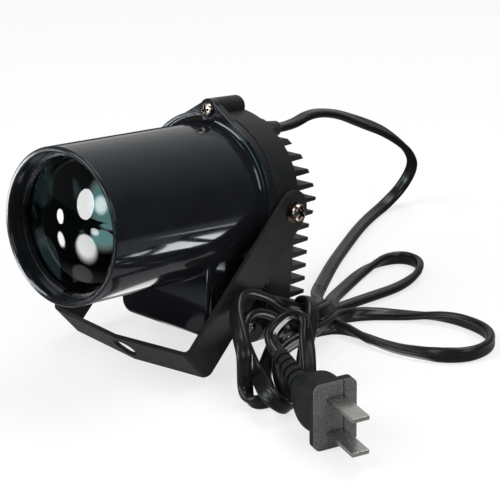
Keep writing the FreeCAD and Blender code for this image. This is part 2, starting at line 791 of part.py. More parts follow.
def rear_housing():
    """The black heat sink that closes the back."""
    body = new_body("rear_housing")
    zero = Size(0.0, "0.0")
    shell = new_sketch(body, "shell_circle", "XZ", -shell_front)
    circle(shell, 0, 0, s.shell_radius)
    pad_rear(body, "shell", shell, s.fin_root_distance - shell_front)
    lower = new_sketch(body, "shell_skirt", "XZ", -shell_front)
    rectangle(lower, -shell_half_width, -flange_drop, shell_half_width, zero)
    pad_rear(body, "lower_shell", lower, s.fin_root_distance - shell_front)
    fins = new_sketch(body, "fin_circle", "XZ", -s.fin_root_distance)
    circle(fins, 0, 0, fin_radius)
    pad_rear(body, "fin_block", fins, s.fin_reach_middle - s.fin_root_distance)
    low_fins = new_sketch(body, "fin_skirt", "XZ", -s.fin_root_distance)
    rectangle(low_fins, -fin_half_width, -flange_drop, fin_half_width, zero)
    pad_rear(body, "low_fin_block", low_fins, s.fin_reach_middle - s.fin_root_distance)

    crown = new_sketch(body, "crown_outline", "YZ")
    outside = s.fin_reach_middle + s.overrun
    top = fin_radius + s.overrun
    polygon(crown, [(s.fin_reach_low, -(flange_drop + s.overrun)),
                    (s.fin_reach_low, s.crown_low_height),
                    (s.fin_reach_middle, s.crown_middle_height),
                    (s.fin_reach_upper, s.crown_upper_height),
                    (s.fin_reach_top, crown_top_height), (s.fin_root_distance, top),
                    (outside, top), (outside, -(flange_drop + s.overrun))])
    pocket_across(body, "crown", crown)

    gap = new_sketch(body, "gap_outline", "YZ")
    middle = top_fin_height + s.fin_pitch / 2
    wide = (s.fin_pitch - s.fin_tip_thickness) / 2
    narrow = (s.fin_pitch - s.fin_root_thickness) / 2
    polygon(gap, [(s.fin_root_distance, middle - narrow), (s.fin_reach_middle, middle - wide),
                  (outside, middle - wide), (outside, middle + wide),
                  (s.fin_reach_middle, middle + wide), (s.fin_root_distance, middle + narrow)])
    first_gap = pocket_across(body, "fin_gap", gap)
    pattern = body.newObject("PartDesign::LinearPattern", "fin_gaps")
    pattern.Originals = [first_gap]
    pattern.Direction = (gap, ["V_Axis"])
    pattern.Reversed = True
    pattern.Occurrences = FIN_COUNT + 1
    bind(pattern, Length=s.fin_pitch * FIN_COUNT)
    body.Tip = pattern
    doc.recompute()

    for x, z, radius, side in EARS:
        boss = new_sketch(body, f"{side}_boss_section", "YZ", x, z)
        bullet(boss, shell_front, s.rear_boss_reach, radius, s.boss_end_radius)
        revolve(body, f"{side}_boss", boss)
    entry = new_sketch(body, "entry_boss_circle", "XZ", -shell_floor)
    circle(entry, 0, s.entry_height, s.entry_boss_radius)
    pad_rear(body, "entry_boss", entry, s.entry_boss_reach - shell_floor)

    inner = new_sketch(body, "inner_circle", "XZ", -shell_front)
    circle(inner, 0, 0, s.shell_radius - s.shell_wall)
    pocket_rear(body, "inner_hollow", inner, shell_floor - shell_front)
    low_inner = new_sketch(body, "inner_skirt", "XZ", -shell_front)
    side = shell_half_width - s.shell_wall
    ear_wall = low_ear_side - s.low_ear_radius
    ear_roof = -(low_ear_drop - s.low_ear_radius)
    polygon(low_inner, [(-side, ear_roof), (-ear_wall, ear_roof), (-ear_wall, box_floor),
                        (ear_wall, box_floor), (ear_wall, ear_roof), (side, ear_roof),
                        (side, zero), (-side, zero)])
    pocket_rear(body, "low_hollow", low_inner, shell_floor - shell_front)

    pedestal = new_sketch(body, "pedestal_circle", "XZ", -s.pedestal_distance)
    circle(pedestal, 0, 0, s.pedestal_radius)
    pad_rear(body, "pedestal", pedestal, s.fin_root_distance - s.pedestal_distance)
    for name, sign in (("right", 1), ("left", -1)):
        boss = new_sketch(body, f"{name}_insert_boss_circle", "YZ",
                          sign * (s.shell_radius - s.shell_wall / 2))
        circle(boss, s.pivot_setback, s.pivot_rise, s.insert_radius + s.insert_boss_wall)
        feature(body, "PartDesign::Pad", f"{name}_insert_boss", boss, Reversed=sign > 0,
                Length=s.insert_length + s.running_gap + s.insert_boss_floor - s.shell_wall / 2)
        hole = new_sketch(body, f"{name}_insert_circle", "YZ", sign * (s.shell_radius + s.overrun))
        circle(hole, s.pivot_setback, s.pivot_rise, s.insert_radius + s.seat_gap)
        feature(body, "PartDesign::Pocket", f"{name}_insert_hole", hole, Reversed=sign < 0,
                Length=s.insert_length + s.overrun + s.running_gap)
    for x, z, radius, side in EARS:
        hole = new_sketch(body, f"{side}_thread_circle", "XZ", -shell_front)
        circle(hole, x, z, s.cover_screw_radius + s.seat_gap)
        pocket_rear(body, f"{side}_thread", hole, s.cover_screw_length - shell_front + s.running_gap)
    passage = new_sketch(body, "entry_circle", "XZ", -shell_front)
    circle(passage, 0, s.entry_height, s.entry_hole_radius)
    pocket_rear(body, "entry_hole", passage, s.entry_boss_reach)
    for name, sign in (("right", 1), ("left", -1)):
        thread = new_sketch(body, f"{name}_board_thread_circle", "XZ", -s.pedestal_distance)
        circle(thread, sign * s.board_screw_offset, 0, s.small_screw_radius + s.seat_gap)
        pocket_rear(body, f"{name}_board_thread", thread, s.small_screw_length)
    keep("rear_housing", body, HEAD)


def housing_seal():
    """The thin seal in the seam between the two housings."""
    outer = fuse("seal_outer", cylinder("seal_circle", s.shell_radius - s.gasket_inset,
                                        s.gasket_thickness, y=s.flange_thickness),
                 box("seal_skirt", 2 * (shell_half_width - s.gasket_inset), s.gasket_thickness,
                     flange_drop - s.gasket_inset, y=s.flange_thickness + s.gasket_thickness / 2,
                     z=-(flange_drop - s.gasket_inset)))
    wall = s.shell_wall
    inner = fuse("seal_inner", cylinder("seal_hole", s.shell_radius - wall,
                                        s.gasket_thickness + s.overrun,
                                        y=s.flange_thickness - s.overrun / 2),
                 box("seal_low_hole", 2 * (low_ear_side - s.low_ear_radius), s.gasket_thickness * 3,
                     flange_drop - s.box_wall, y=s.flange_thickness, z=box_floor))
    holes = [cylinder(f"seal_hole_{side}", s.cover_screw_radius + s.ear_screw_clearance,
                      s.gasket_thickness * 3, x, s.flange_thickness - s.gasket_thickness, z)
             for x, z, radius, side in EARS]
    keep("housing_seal", cut("housing_seal", outer, inner, *holes), HEAD)


# Fasteners

def cross_screw(name, place, sizes):
    """A pan head screw with a cross recess; its thread runs along +Z of its place."""
    shank_radius, shank_length, head_radius, head_height = sizes
    shank = cylinder(f"{name}_shank", shank_radius, shank_length, rotation=UPRIGHT)
    crown_radius = (head_radius * head_radius + head_height * head_height) / (2 * head_height)
    ball = sphere(f"{name}_crown", crown_radius, z=crown_radius - head_height)
    rim = cylinder(f"{name}_rim", head_radius, head_height, z=-head_height, rotation=UPRIGHT)
    head = common(f"{name}_head", ball, rim)
    slots = [box(f"{name}_slot_{turned}", long, across, s.recess_depth + s.overrun,
                 z=-(head_height + s.overrun))
             for turned, long, across in (("a", head_radius * 1.25, s.recess_width),
                                          ("b", s.recess_width, head_radius * 1.25))]
    recess = fuse(f"{name}_recess", *slots)
    screw = cut(name, fuse(f"{name}_solid", shank, head), recess)
    screw.Placement = place
    return screw


def cover_screws():
    """Three screws through the ears, front to back."""
    sizes = (s.cover_screw_radius, s.cover_screw_length, s.cover_head_radius, s.cover_head_height)
    screws = [cross_screw(f"cover_screw_{side}",
                          Placement(Vector(float(x), 0, float(z)), ALONG_REAR), sizes)
              for x, z, radius, side in EARS]
    keep("cover_screws", group("cover_screws", *screws), HEAD)


def ring_of(name, outer, inner, thickness, x, rotation):
    """A flat washer about the pivot, from a place along X."""
    disc = cylinder(f"{name}_disc", outer, thickness, x, s.pivot_setback, s.pivot_rise, rotation)
    hole = cylinder(f"{name}_hole", inner, thickness * 3, x - thickness * rotation_sign(rotation),
                    s.pivot_setback, s.pivot_rise, rotation)
    return cut(name, disc, hole)


def rotation_sign(rotation):
    """1 for a piece that runs to the right and -1 for one that runs to the left."""
    return 1 if rotation.multVec(Z_AXIS).x > 0 else -1


def pivot_parts():
    """Inserts, friction washers, screws and washers on both sides."""
    sides = (("right", 1, ALONG_RIGHT), ("left", -1, ALONG_LEFT))
    inserts = []
    frictions = []
    washers = []
    springs = []
    screws = []
    hole = s.pivot_screw_radius + s.seat_gap
    for side, sign, outward in sides:
        inserts.append(ring_of(f"insert_{side}", s.insert_radius, hole, s.insert_length,
                               sign * (s.shell_radius - s.insert_length), outward))
        frictions.append(ring_of(f"friction_{side}", s.friction_washer_radius,
                                 s.pivot_screw_radius + s.yoke_pivot_gap,
                                 s.friction_washer_thickness, sign * s.shell_radius, outward))
        washer_at = yoke_half_span + s.seat_gap
        washers.append(ring_of(f"washer_{side}", s.washer_radius, hole, s.washer_thickness,
                               sign * washer_at, outward))
        spring_at = washer_at + s.washer_thickness
        springs.append(ring_of(f"spring_{side}", s.spring_washer_radius, hole,
                               s.spring_washer_thickness, sign * spring_at, outward))
        head_at = float(spring_at + s.spring_washer_thickness)
        inward = ALONG_LEFT if sign > 0 else ALONG_RIGHT
        place = Placement(Vector(sign * head_at, SIZES["pivot_setback"], SIZES["pivot_rise"]), inward)
        sizes = (s.pivot_screw_radius, s.pivot_screw_length, s.pivot_head_radius, s.pivot_head_height)
        screws.append(cross_screw(f"pivot_screw_{side}", place, sizes))
    keep("pivot_inserts", group("pivot_inserts", *inserts), HEAD)
    keep("friction_washers", group("friction_washers", *frictions), HEAD)
    keep("pivot_washers", group("pivot_washers", *washers), HEAD)
    keep("spring_washers", group("spring_washers", *springs), HEAD)
    keep("pivot_screws", group("pivot_screws", *screws), HEAD)


# Yoke

def yoke():
    """One bent strap with round arm ends, a bowed base and a hole in the base's middle."""
    body = new_body("yoke")
    zero = Size(0.0, "0.0")
    side_view = new_sketch(body, "strap_side", "YZ")
    half = s.strap_width / 2
    depth = s.yoke_middle_reach + s.overrun
    rectangle(side_view, -half, -depth, half, zero)
    feature(body, "PartDesign::Pad", "strap_block", side_view, Length=2 * yoke_half_span,
            Midplane=True)
    ends = new_sketch(body, "arm_end_circle", "YZ")
    circle(ends, 0, 0, half)
    feature(body, "PartDesign::Pad", "arm_ends", ends, Length=2 * yoke_half_span, Midplane=True)

    window = new_sketch(body, "window_outline", "XZ")
    slope = (s.yoke_middle_reach - s.yoke_corner_reach) / yoke_half_span
    inner_corner = s.yoke_corner_reach + slope * s.strap_thickness - s.strap_thickness
    over = half + s.overrun
    polygon(window, [(-arm_inner, over), (-arm_inner, -inner_corner),
                     (zero, -(s.yoke_middle_reach - s.strap_thickness)),
                     (arm_inner, -inner_corner), (arm_inner, over)])
    pocket_across(body, "window", window)
    for name, sign in (("right", 1), ("left", -1)):
        under = new_sketch(body, f"{name}_under_outline", "XZ")
        polygon(under, [(zero, -s.yoke_middle_reach), (zero, -(depth + s.overrun)),
                        (sign * (yoke_half_span + s.overrun), -(depth + s.overrun)),
                        (sign * (yoke_half_span + s.overrun),
                         -(s.yoke_corner_reach - slope * s.overrun))])
        trimmed = pocket_across(body, f"{name}_under", under)
    corner = SIZES["yoke_corner_reach"]
    inside = float(inner_corner)
    trimmed = round_edges(body, "outer_bends", trimmed,
                          lambda e, m: straight(e, Y_AXIS) and near(abs(m.x), yoke_half_span)
                          and near(m.z, -corner), s.yoke_bend_radius)
    trimmed = round_edges(body, "inner_bends", trimmed,
                          lambda e, m: straight(e, Y_AXIS) and near(abs(m.x), arm_inner)
                          and near(m.z, -inside), s.yoke_bend_radius - s.strap_thickness)
    hole = new_sketch(body, "mount_circle", "XY", -depth)
    circle(hole, 0, 0, s.yoke_hole_radius)
    feature(body, "PartDesign::Pocket", "mount_hole", hole, Length=2 * s.overrun + s.strap_thickness,
            Reversed=True)
    pivots = new_sketch(body, "pivot_circle", "YZ")
    circle(pivots, 0, 0, s.pivot_screw_radius + s.yoke_pivot_gap)
    pocket_across(body, "pivot_holes", pivots)
    keep("yoke", body, YOKE)


# Light engine on the pedestal

def light_engine():
    """Thermal pad, board, emitter, collimator and its holder."""
    sides = (("right", 1), ("left", -1))
    for name, thickness, front in (("thermal_pad", s.pad_thickness, board_back),
                                   ("led_board", s.board_thickness, board_front)):
        disc = cylinder(f"{name}_disc", s.board_radius, thickness, y=front)
        holes = [cylinder(f"{name}_hole_{side}", s.small_screw_radius + s.seat_gap, thickness * 3,
                          x=sign * s.board_screw_offset, y=front - thickness)
                 for side, sign in sides]
        keep(name, cut(name, disc, *holes), HEAD)
    screws = [cross_screw(f"led_board_screw_{side}",
                          Placement(Vector(sign * SIZES["board_screw_offset"], float(board_front), 0),
                                    ALONG_REAR), SMALL_SCREW)
              for side, sign in sides]
    keep("led_board_screws", group("led_board_screws", *screws), HEAD)
    base = box("emitter_base", s.emitter_width, s.emitter_height, s.emitter_width,
               y=board_front - s.emitter_height / 2, z=-s.emitter_width / 2)
    ball = sphere("emitter_ball", s.emitter_dome_radius, y=board_front - s.emitter_height)
    half = cylinder("emitter_half", s.emitter_dome_radius * 2, s.emitter_dome_radius * 2,
                    y=board_front - s.emitter_height, rotation=ALONG_FRONT)
    dome = common("emitter_dome", ball, half)
    keep("led_emitter", fuse("led_emitter", base, dome), HEAD)

    throat = board_front - s.running_gap
    shape = cone("collimator_cone", s.collimator_throat_radius, s.collimator_mouth_radius,
                 s.collimator_length, y=throat, rotation=ALONG_FRONT)
    lip = cylinder("collimator_lip", s.collimator_mouth_radius, s.collimator_lip,
                   y=throat - s.collimator_length, rotation=ALONG_FRONT)
    well = cylinder("collimator_well", s.emitter_dome_radius * 2,
                    s.overrun + s.emitter_dome_radius * 2,
                    y=throat + s.overrun, rotation=ALONG_FRONT)
    keep("collimator", cut("collimator", fuse("collimator_solid", shape, lip), well), HEAD)

    outer = s.collimator_mouth_radius + s.seat_gap + s.holder_wall
    length = s.collimator_length + s.collimator_lip
    tube = cylinder("holder_tube", outer, length, y=throat, rotation=ALONG_FRONT)
    bore = cylinder("holder_bore", s.collimator_mouth_radius + s.seat_gap, length + s.overrun,
                    y=throat, rotation=ALONG_FRONT)
    floor_hole = cylinder("holder_floor_hole", s.board_radius, s.overrun * 2, y=throat + s.overrun,
                          rotation=ALONG_FRONT)
    foot = cylinder("holder_foot", outer, s.running_gap + s.board_thickness, y=throat)
    foot_bore = cylinder("holder_foot_bore", s.board_radius + s.seat_gap, s.overrun * 2, y=throat)
    doorway = box("holder_doorway", s.lead_wire_spacing + 4 * s.lead_wire_radius, s.overrun * 2,
                  s.holder_wall * 2, y=board_front - s.overrun, z=-(outer + s.seat_gap))
    keep("collimator_holder", cut("collimator_holder", fuse("holder_solid", tube, foot), bore,
                                  foot_bore, floor_hole, doorway), HEAD)


# Paths of straight runs and tangent arcs

RUN_SHARE = 0.45


def rounded_path(points):
    """A wire through points, each corner rounded by an arc from 0.45 of its shorter run.

    Gives the wire and the list of its arcs' radii.
    """
    edges = []
    radii = []
    start = points[0]
    for before, corner, after in zip(points, points[1:], points[2:]):
        inward = (corner - before).normalize()
        outward = (after - corner).normalize()
        half_turn = math.acos(max(-1.0, min(1.0, inward.dot(outward)))) / 2
        trim = RUN_SHARE * min((corner - before).Length, (after - corner).Length)
        radius = trim / math.tan(half_turn)
        radii.append(radius)
        arc_start = corner - inward * trim
        arc_end = corner + outward * trim
        bisector = (outward - inward).normalize()
        centre = corner + bisector * (radius / math.cos(half_turn))
        middle = centre - bisector * radius
        edges.append(Part.LineSegment(start, arc_start).toShape())
        edges.append(Part.Arc(arc_start, middle, arc_end).toShape())
        start = arc_end
    edges.append(Part.LineSegment(start, points[-1]).toShape())
    return Part.Wire(edges), radii


def swept_circle(path, radius):
    """A round tube along a wire."""
    first = path.Edges[0]
    start = first.valueAt(first.FirstParameter)
    direction = first.tangentAt(first.FirstParameter)
    ring = Part.Wire(Part.Circle(start, direction, float(radius)).toShape())
    return path.makePipeShell([ring], True, False)


def solid_feature(name, shape, place=None):
    """A piece whose shape is worked out point by point."""
    thing = doc.addObject("Part::Feature", name)
    thing.Shape = shape
    if place:
        thing.Placement = place
    return thing


def wire(name, corners, radius):
    """A round wire through corners given in sizes."""
    path, _ = rounded_path([Vector(float(x), float(y), float(z)) for x, y, z in corners])
    return solid_feature(name, swept_circle(path, radius))


# Driver board and its wires

SMALL_SCREW = (s.small_screw_radius, s.small_screw_length, s.small_head_radius, s.small_head_height)
UPSIDE_DOWN = Rotation(X_AXIS, 180)


def driver():
    """The driver board on its standoffs, with what it carries."""
    depth = s.driver_rear_distance - s.driver_front_distance
    centre = (s.driver_rear_distance + s.driver_front_distance) / 2
    plate = box("driver_plate", 2 * s.driver_half_width, depth, s.driver_thickness, y=centre,
                z=board_bottom)
    holes = []
    standoffs = []
    screws = []
    for side, sign in (("right", 1), ("left", -1)):
        for end, y in (("front", s.driver_front_distance + s.standoff_inset),
                       ("rear", s.driver_rear_distance - s.standoff_inset)):
            name = f"{side}_{end}"
            x = sign * s.standoff_offset
            bore = s.small_screw_radius + s.seat_gap
            holes.append(cylinder(f"driver_hole_{name}", bore, 3 * s.driver_thickness, x, y,
                                  board_bottom - s.driver_thickness, UPRIGHT))
            post = cylinder(f"standoff_post_{name}", s.standoff_radius, s.driver_clearance, x, y,
                            box_floor, UPRIGHT)
            thread = cylinder(f"standoff_thread_{name}", bore, s.driver_clearance * 2, x, y,
                              box_floor - s.seat_gap, UPRIGHT)
            standoffs.append(cut(f"standoff_{name}", post, thread))
            place = Placement(Vector(float(x), float(y), float(board_top)), UPSIDE_DOWN)
            screws.append(cross_screw(f"driver_screw_{name}", place,
                                      (s.small_screw_radius, s.driver_thickness + s.driver_clearance
                                       - s.running_gap, s.small_head_radius, s.small_head_height)))
    keep("driver_board", cut("driver_board", plate, *holes), HEAD)
    keep("driver_standoffs", group("driver_standoffs", *standoffs), HEAD)
    keep("driver_screws", group("driver_screws", *screws), HEAD)

    middle = s.driver_front_distance + s.transformer_setback
    bobbin = box("transformer_bobbin", s.transformer_width, s.transformer_depth,
                 transformer_height, y=middle, z=board_top)
    cores = box("transformer_core", s.core_width, s.winding_radius * 2, s.core_height, y=middle,
                z=board_top + (transformer_height - s.core_height) / 2)
    keep("transformer", fuse("transformer", bobbin, cores), HEAD)
    cans = [cylinder(f"capacitor_{side}", s.capacitor_radius, capacitor_length,
                     sign * s.capacitor_offset, s.driver_front_distance + s.capacitor_setback,
                     board_top, UPRIGHT)
            for side, sign in (("right", 1), ("left", -1))]
    keep("capacitors", group("capacitors", *cans), HEAD)
    choke = cylinder("choke_drum", s.choke_radius, s.choke_height, -s.choke_offset,
                     s.driver_front_distance + s.choke_setback, board_top, UPRIGHT)
    keep("choke", group("choke", choke), HEAD)
    block_y = s.driver_rear_distance - s.terminal_margin - s.terminal_depth / 2
    block = box("terminal_body", s.terminal_width, s.terminal_depth, terminal_height,
                x=s.terminal_offset, y=block_y, z=board_top)
    keep("terminal_block", group("terminal_block", block), HEAD)

    terminal_top = board_top + terminal_height
    gland_back = shell_floor - s.gland_nut_thickness - s.gland_end_thickness
    cores = []
    for side, sign, depth in (("live", 1, s.core_run_distance + s.core_spacing),
                              ("neutral", -1, s.core_run_distance)):
        start = sign * s.core_spacing / 2
        entry = s.terminal_offset + sign * s.core_spacing
        cores.append(wire(f"core_{side}",
                          [(start, gland_back, s.entry_height), (start, depth, s.entry_height),
                           (s.core_run_offset - s.core_spacing, depth, s.entry_height / 2),
                           (s.core_run_offset, depth, -s.pedestal_radius),
                           (entry, depth, terminal_top + 2 * s.core_spacing),
                           (entry, depth, terminal_top)], s.core_radius))
    keep("mains_wires", group("mains_wires", *cores), HEAD)
    leads = []
    front = board_front - s.lead_wire_radius * 2
    for side, sign in (("plus", 1), ("minus", -1)):
        start = sign * s.lead_wire_spacing / 2
        end = start - s.lead_wire_offset
        leads.append(wire(f"led_wire_{side}",
                          [(start, front, -(s.board_radius - s.lead_wire_spacing)),
                           (start, front, -2 * s.board_radius),
                           (end, s.core_run_distance, -3 * s.board_radius),
                           (end, s.core_run_distance, board_top)], s.lead_wire_radius))
    keep("led_wires", group("led_wires", *leads), HEAD)


# Cord entry

def cord_entry():
    """The gland, its nut, and the sleeve that the cord comes out of."""
    height = s.entry_height
    face = s.entry_boss_reach
    dome_start = face + s.gland_flange_thickness
    dome_end = dome_start + s.gland_dome_length
    back = shell_floor - s.gland_nut_thickness - s.gland_end_thickness
    flange = cylinder("gland_flange", s.gland_flange_radius, s.gland_flange_thickness, y=face, z=height)
    dome = cone("gland_dome", s.gland_flange_radius, s.gland_dome_radius, s.gland_dome_length,
                y=dome_start, z=height)
    barrel = cylinder("gland_barrel", s.entry_hole_radius - s.seat_gap, face - back, y=back, z=height)
    bore = cylinder("gland_bore", s.jacket_radius + s.seat_gap, dome_end - back + s.overrun,
                    y=back - s.overrun / 2, z=height)
    keep("cable_gland", cut("cable_gland", fuse("gland_solid", flange, dome, barrel), bore), HEAD)
    ring = cylinder("gland_nut_ring", s.gland_nut_radius, s.gland_nut_thickness,
                    y=shell_floor - s.gland_nut_thickness, z=height)
    opening = cylinder("gland_nut_bore", s.entry_hole_radius, s.gland_nut_thickness * 3,
                       y=shell_floor - 2 * s.gland_nut_thickness, z=height)
    keep("gland_nut", cut("gland_nut", ring, opening), HEAD)
    jacket = cylinder("jacket_end", s.jacket_radius, dome_end - back, y=back, z=height)
    sleeve = cone("relief_sleeve", s.relief_root_radius, s.relief_tip_radius,
                  s.relief_reach - dome_end, y=dome_end, z=height)
    keep("entry_relief", fuse("entry_relief", jacket, sleeve), HEAD)


# The cord's routes are drawn for a cord of this radius, beside a yoke of this half span, from an
# entry at this point. They keep the scale of the cord and go with the yoke's side and the entry.

DRAWN_RADIUS = 1.8
DRAWN_SPAN = 36.9
DRAWN_ENTRY = Vector(0, 62.688, 72.399)
ENTRY_TIP = HEAD.multVec(Vector(0, SIZES["relief_reach"], SIZES["entry_height"]))
ENTRY_AXIS = HEAD.Rotation.multVec(Y_AXIS)
ROUTE_SCALE = float(s.cord_radius) / DRAWN_RADIUS
SIDE_SHIFT = X_AXIS * (float(yoke_half_span) - ROUTE_SCALE * DRAWN_SPAN)
ENTRY_SHIFT = ENTRY_TIP - DRAWN_ENTRY * ROUTE_SCALE


def routed(points, entry_share):
    """Drawn points in their places. The share says how far each goes with the entry."""
    placed = []
    for i, point in enumerate(points):
        share = entry_share * (1 - i / (len(points) - 1))
        placed.append(Vector(*point) * ROUTE_SCALE + SIDE_SHIFT * (1 - share) + ENTRY_SHIFT * share)
    return placed


# Plug, in its own frame: its face at x = 0, its blades along +X

PLUG = Placement(Vector(SIZES["plug_face_x"], SIZES["plug_face_y"], SIZES["plug_height"] / 2)
                 + SIDE_SHIFT, Rotation(Z_AXIS, SIZES["plug_turn"]))
plug_back = s.plug_plate_thickness + s.plug_body_length
RELIEF_TURN = Rotation(Y_AXIS, SIZES["plug_relief_rise"])
RELIEF_AXIS = (PLUG.Rotation * RELIEF_TURN).multVec(Vector(-1, 0, 0))
RELIEF_ROOT = PLUG.multVec(Vector(-float(plug_back), 0, 0))
RELIEF_TIP = RELIEF_ROOT + RELIEF_AXIS * SIZES["plug_relief_length"]


def rounded_outline(x, width, height, radius):
    """A closed wire across X: a rectangle with round corners."""
    y = float(width) / 2
    z = float(height) / 2
    r = float(radius)
    edges = []
    bend = r * math.sqrt(0.5)
    for across, up in ((1, 1), (-1, 1), (-1, -1), (1, -1)):
        centre = Vector(x, across * (y - r), up * (z - r))
        side = centre + Vector(0, across * r, 0)
        end = centre + Vector(0, 0, up * r)
        middle = centre + Vector(0, across * bend, up * bend)
        first, last = (side, end) if across * up > 0 else (end, side)
        edges.append(Part.Arc(first, middle, last).toShape())
    for i, arc in enumerate(list(edges)):
        after = edges[(i + 1) % 4]
        edges.append(Part.LineSegment(arc.valueAt(arc.LastParameter),
                                      after.valueAt(after.FirstParameter)).toShape())
    return Part.Wire(Part.__sortEdges__(edges))


def plug():
    """The plug's body, its ribbed relief and its two blades."""
    plate = rounded_outline(0.0, s.plug_width, s.plug_height, s.plug_corner_radius)
    plate = Part.Face(plate).extrude(Vector(-SIZES["plug_plate_thickness"], 0, 0))
    radius = s.plug_body_radius
    waist = rounded_outline(-SIZES["plug_plate_thickness"], s.plug_waist_width,
                            s.plug_waist_height, radius)
    belly = rounded_outline(-SIZES["plug_belly_distance"], s.plug_belly_width,
                            s.plug_belly_height, radius)
    rear = rounded_outline(-float(plug_back), s.plug_rear_width, s.plug_rear_height, radius)
    grip = Part.makeLoft([waist, belly, rear], True, False)
    solid = solid_feature("plug_solid", plate.fuse(grip))
    slots = []
    blades = []
    for name, sign in (("upper", 1), ("lower", -1)):
        up = sign * s.blade_spacing / 2 - s.blade_thickness / 2
        slots.append(box(f"blade_slot_{name}", s.blade_grip_length * 2, s.blade_width, s.blade_thickness,
                         z=up))
        blades.append(box(f"blade_{name}", s.blade_length + s.blade_grip_length, s.blade_width,
                          s.blade_thickness, x=(s.blade_length - s.blade_grip_length) / 2, z=up))
    keep("plug_body", cut("plug_body", solid, *slots), PLUG)
    keep("plug_blades", group("plug_blades", *blades), PLUG)

    length = s.plug_relief_length
    sleeve = cone("plug_sleeve", s.plug_relief_root_radius, s.plug_relief_tip_radius, length,
                  rotation=UPRIGHT)
    foot = cylinder("plug_sleeve_foot", s.plug_relief_root_radius, s.overrun, z=-s.overrun,
                    rotation=UPRIGHT)
    grooves = []
    pitch = length / (RELIEF_GROOVES + 1)
    for i in range(RELIEF_GROOVES):
        level = pitch * (i + 1)
        ring = cylinder(f"groove_ring_{i}", s.plug_relief_root_radius + s.overrun,
                        s.plug_groove_width, z=level - s.plug_groove_width / 2, rotation=UPRIGHT)
        shrink = (s.plug_relief_root_radius - s.plug_relief_tip_radius) * (i + 1) / (RELIEF_GROOVES + 1)
        stay = cylinder(f"groove_core_{i}", s.plug_relief_root_radius - shrink - s.plug_groove_depth,
                        s.plug_groove_width * 3, z=level - s.plug_groove_width * 3 / 2,
                        rotation=UPRIGHT)
        grooves.append(cut(f"groove_{i}", ring, stay))
    ribbed = cut("ribbed_sleeve", fuse("plug_sleeve_solid", sleeve, foot), *grooves)
    ribbed.Placement = Placement(Vector(-float(plug_back), 0, 0),
                                 Rotation(Z_AXIS, RELIEF_TURN.multVec(Vector(-1, 0, 0))))
    trim = box("relief_trim", s.plug_body_length, s.plug_width, s.plug_height,
               x=s.plug_body_length / 2 - plug_back, z=-s.plug_height / 2)
    keep("plug_relief", cut("plug_relief", ribbed, trim), PLUG)


# Cord: the points of its route, chosen by eye in the row frame

FIRST_RUN = 10.0 * ROUTE_SCALE
LAST_RUN = 5.5 * ROUTE_SCALE
LEAD_ROUTE = [
    (0, 86, 75.5), (0, 103, 71.5), (-0.5, 121, 62.5), (-2.5, 141, 53), (-6, 159, 42.5),
    (-10, 175.5, 32), (-14.5, 186.5, 21), (-20, 184.5, 9), (-22, 172, 2.2), (-18.5, 156, 2),
    (-12, 137, 2.5), (-4, 116, 2), (5, 95, 2.5), (15, 74.5, 2.5), (20.5, 65, 4)]
FIRST_SIDE_LOOP = [
    (20.5, 65, 4), (24.6, 57.9, 5.1), (37.5, 44, 11), (43.5, 34, 12), (44, 26, 13.5), (41.5, 17.5, 18.5),
    (40.5, 5, 27), (40, -7.5, 33), (45, -16.5, 29.5), (53, -23, 24), (58, -26.5, 20),
    (58.5, -27, 14.5), (57.5, -26, 7), (60, -28, 3), (65, -29, 2), (68, -24.5, 2), (66, -19.5, 2),
    (59.5, -15.5, 2), (51, -8.5, 2), (43.5, 4.5, 2)]
SMALL_LOOP = [
    (39, 13, 3.5), (41, 19, 9.5), (47.5, 22, 12), (50, 27.5, 14), (48, 37, 14), (41.5, 48, 11.5),
    (29.5, 61, 5.5), (23, 79.5, 2), (20, 97, 2), (20.5, 109.5, 2), (24, 117.5, 2), (29.5, 120, 2),
    (37, 117.5, 2), (42, 108, 2), (43, 92, 2), (39.5, 72.5, 2.5), (35.5, 53.5, 2.5), (42, 38, 7),
    (46, 27.5, 6.5)]
SECOND_SIDE_LOOP = [
    (46.5, 19.5, 6), (46.5, 15, 11), (45.5, 8, 18), (43.5, -3, 24.5), (44.5, -11.5, 24),
    (48, -16.5, 18.5), (56, -19, 9.5), (64.5, -25, 9.5), (70.5, -30.5, 10.5), (75.5, -31.5, 8.5),
    (77.5, -28, 5), (75.5, -22.5, 2), (69.5, -16, 2), (58.5, -7.5, 2.5), (50, 1.5, 5), (49, 9, 7.5)]
LARGE_LOOP = [
    (53, 20.5, 9.5), (48.5, 37.5, 8.5), (43.5, 49, 4), (47.5, 58.5, 2), (60, 69, 2), (77.5, 78, 2),
    (97, 76, 2), (106, 66, 2), (105, 52.5, 2), (95, 44.5, 2), (75.5, 40.5, 2), (60, 42, 2)]
WRAP = [
    (49, 42, 2), (43.5, 36, 2), (41, 29.5, 3), (39.5, 27.5, 8), (39.5, 28, 15.5), (42.5, 27, 19),
    (48.5, 25, 19.5), (53.5, 18.5, 16), (57, 9.5, 7)]
TAIL = [
    (66, -3.5, 2), (71.5, -10, 2), (76.5, -14.5, 3), (78.5, -15, 7.5), (77, -11.5, 12), (73, -7, 15),
    (68.5, -3, 19), (64, -1, 22.5), (59.5, -3.5, 24), (56.5, -8.5, 23.5), (57.5, -12.5, 21)]
NEAR_ALONG_SHARE = 8
SAMPLES_PER_RADIUS = 2.0


def tube(name, corners):
    """A tube along a route, whose radii, length and volume are printed."""
    path, radii = rounded_path(corners)
    shape = swept_circle(path, s.cord_radius)
    section = math.pi * float(s.cord_radius) ** 2
    print(name, "least arc radius", round(min(radii), 2), "length", round(path.Length, 1),
          "volume over section times length", round(shape.Volume / (section * path.Length), 4))
    return path, shape


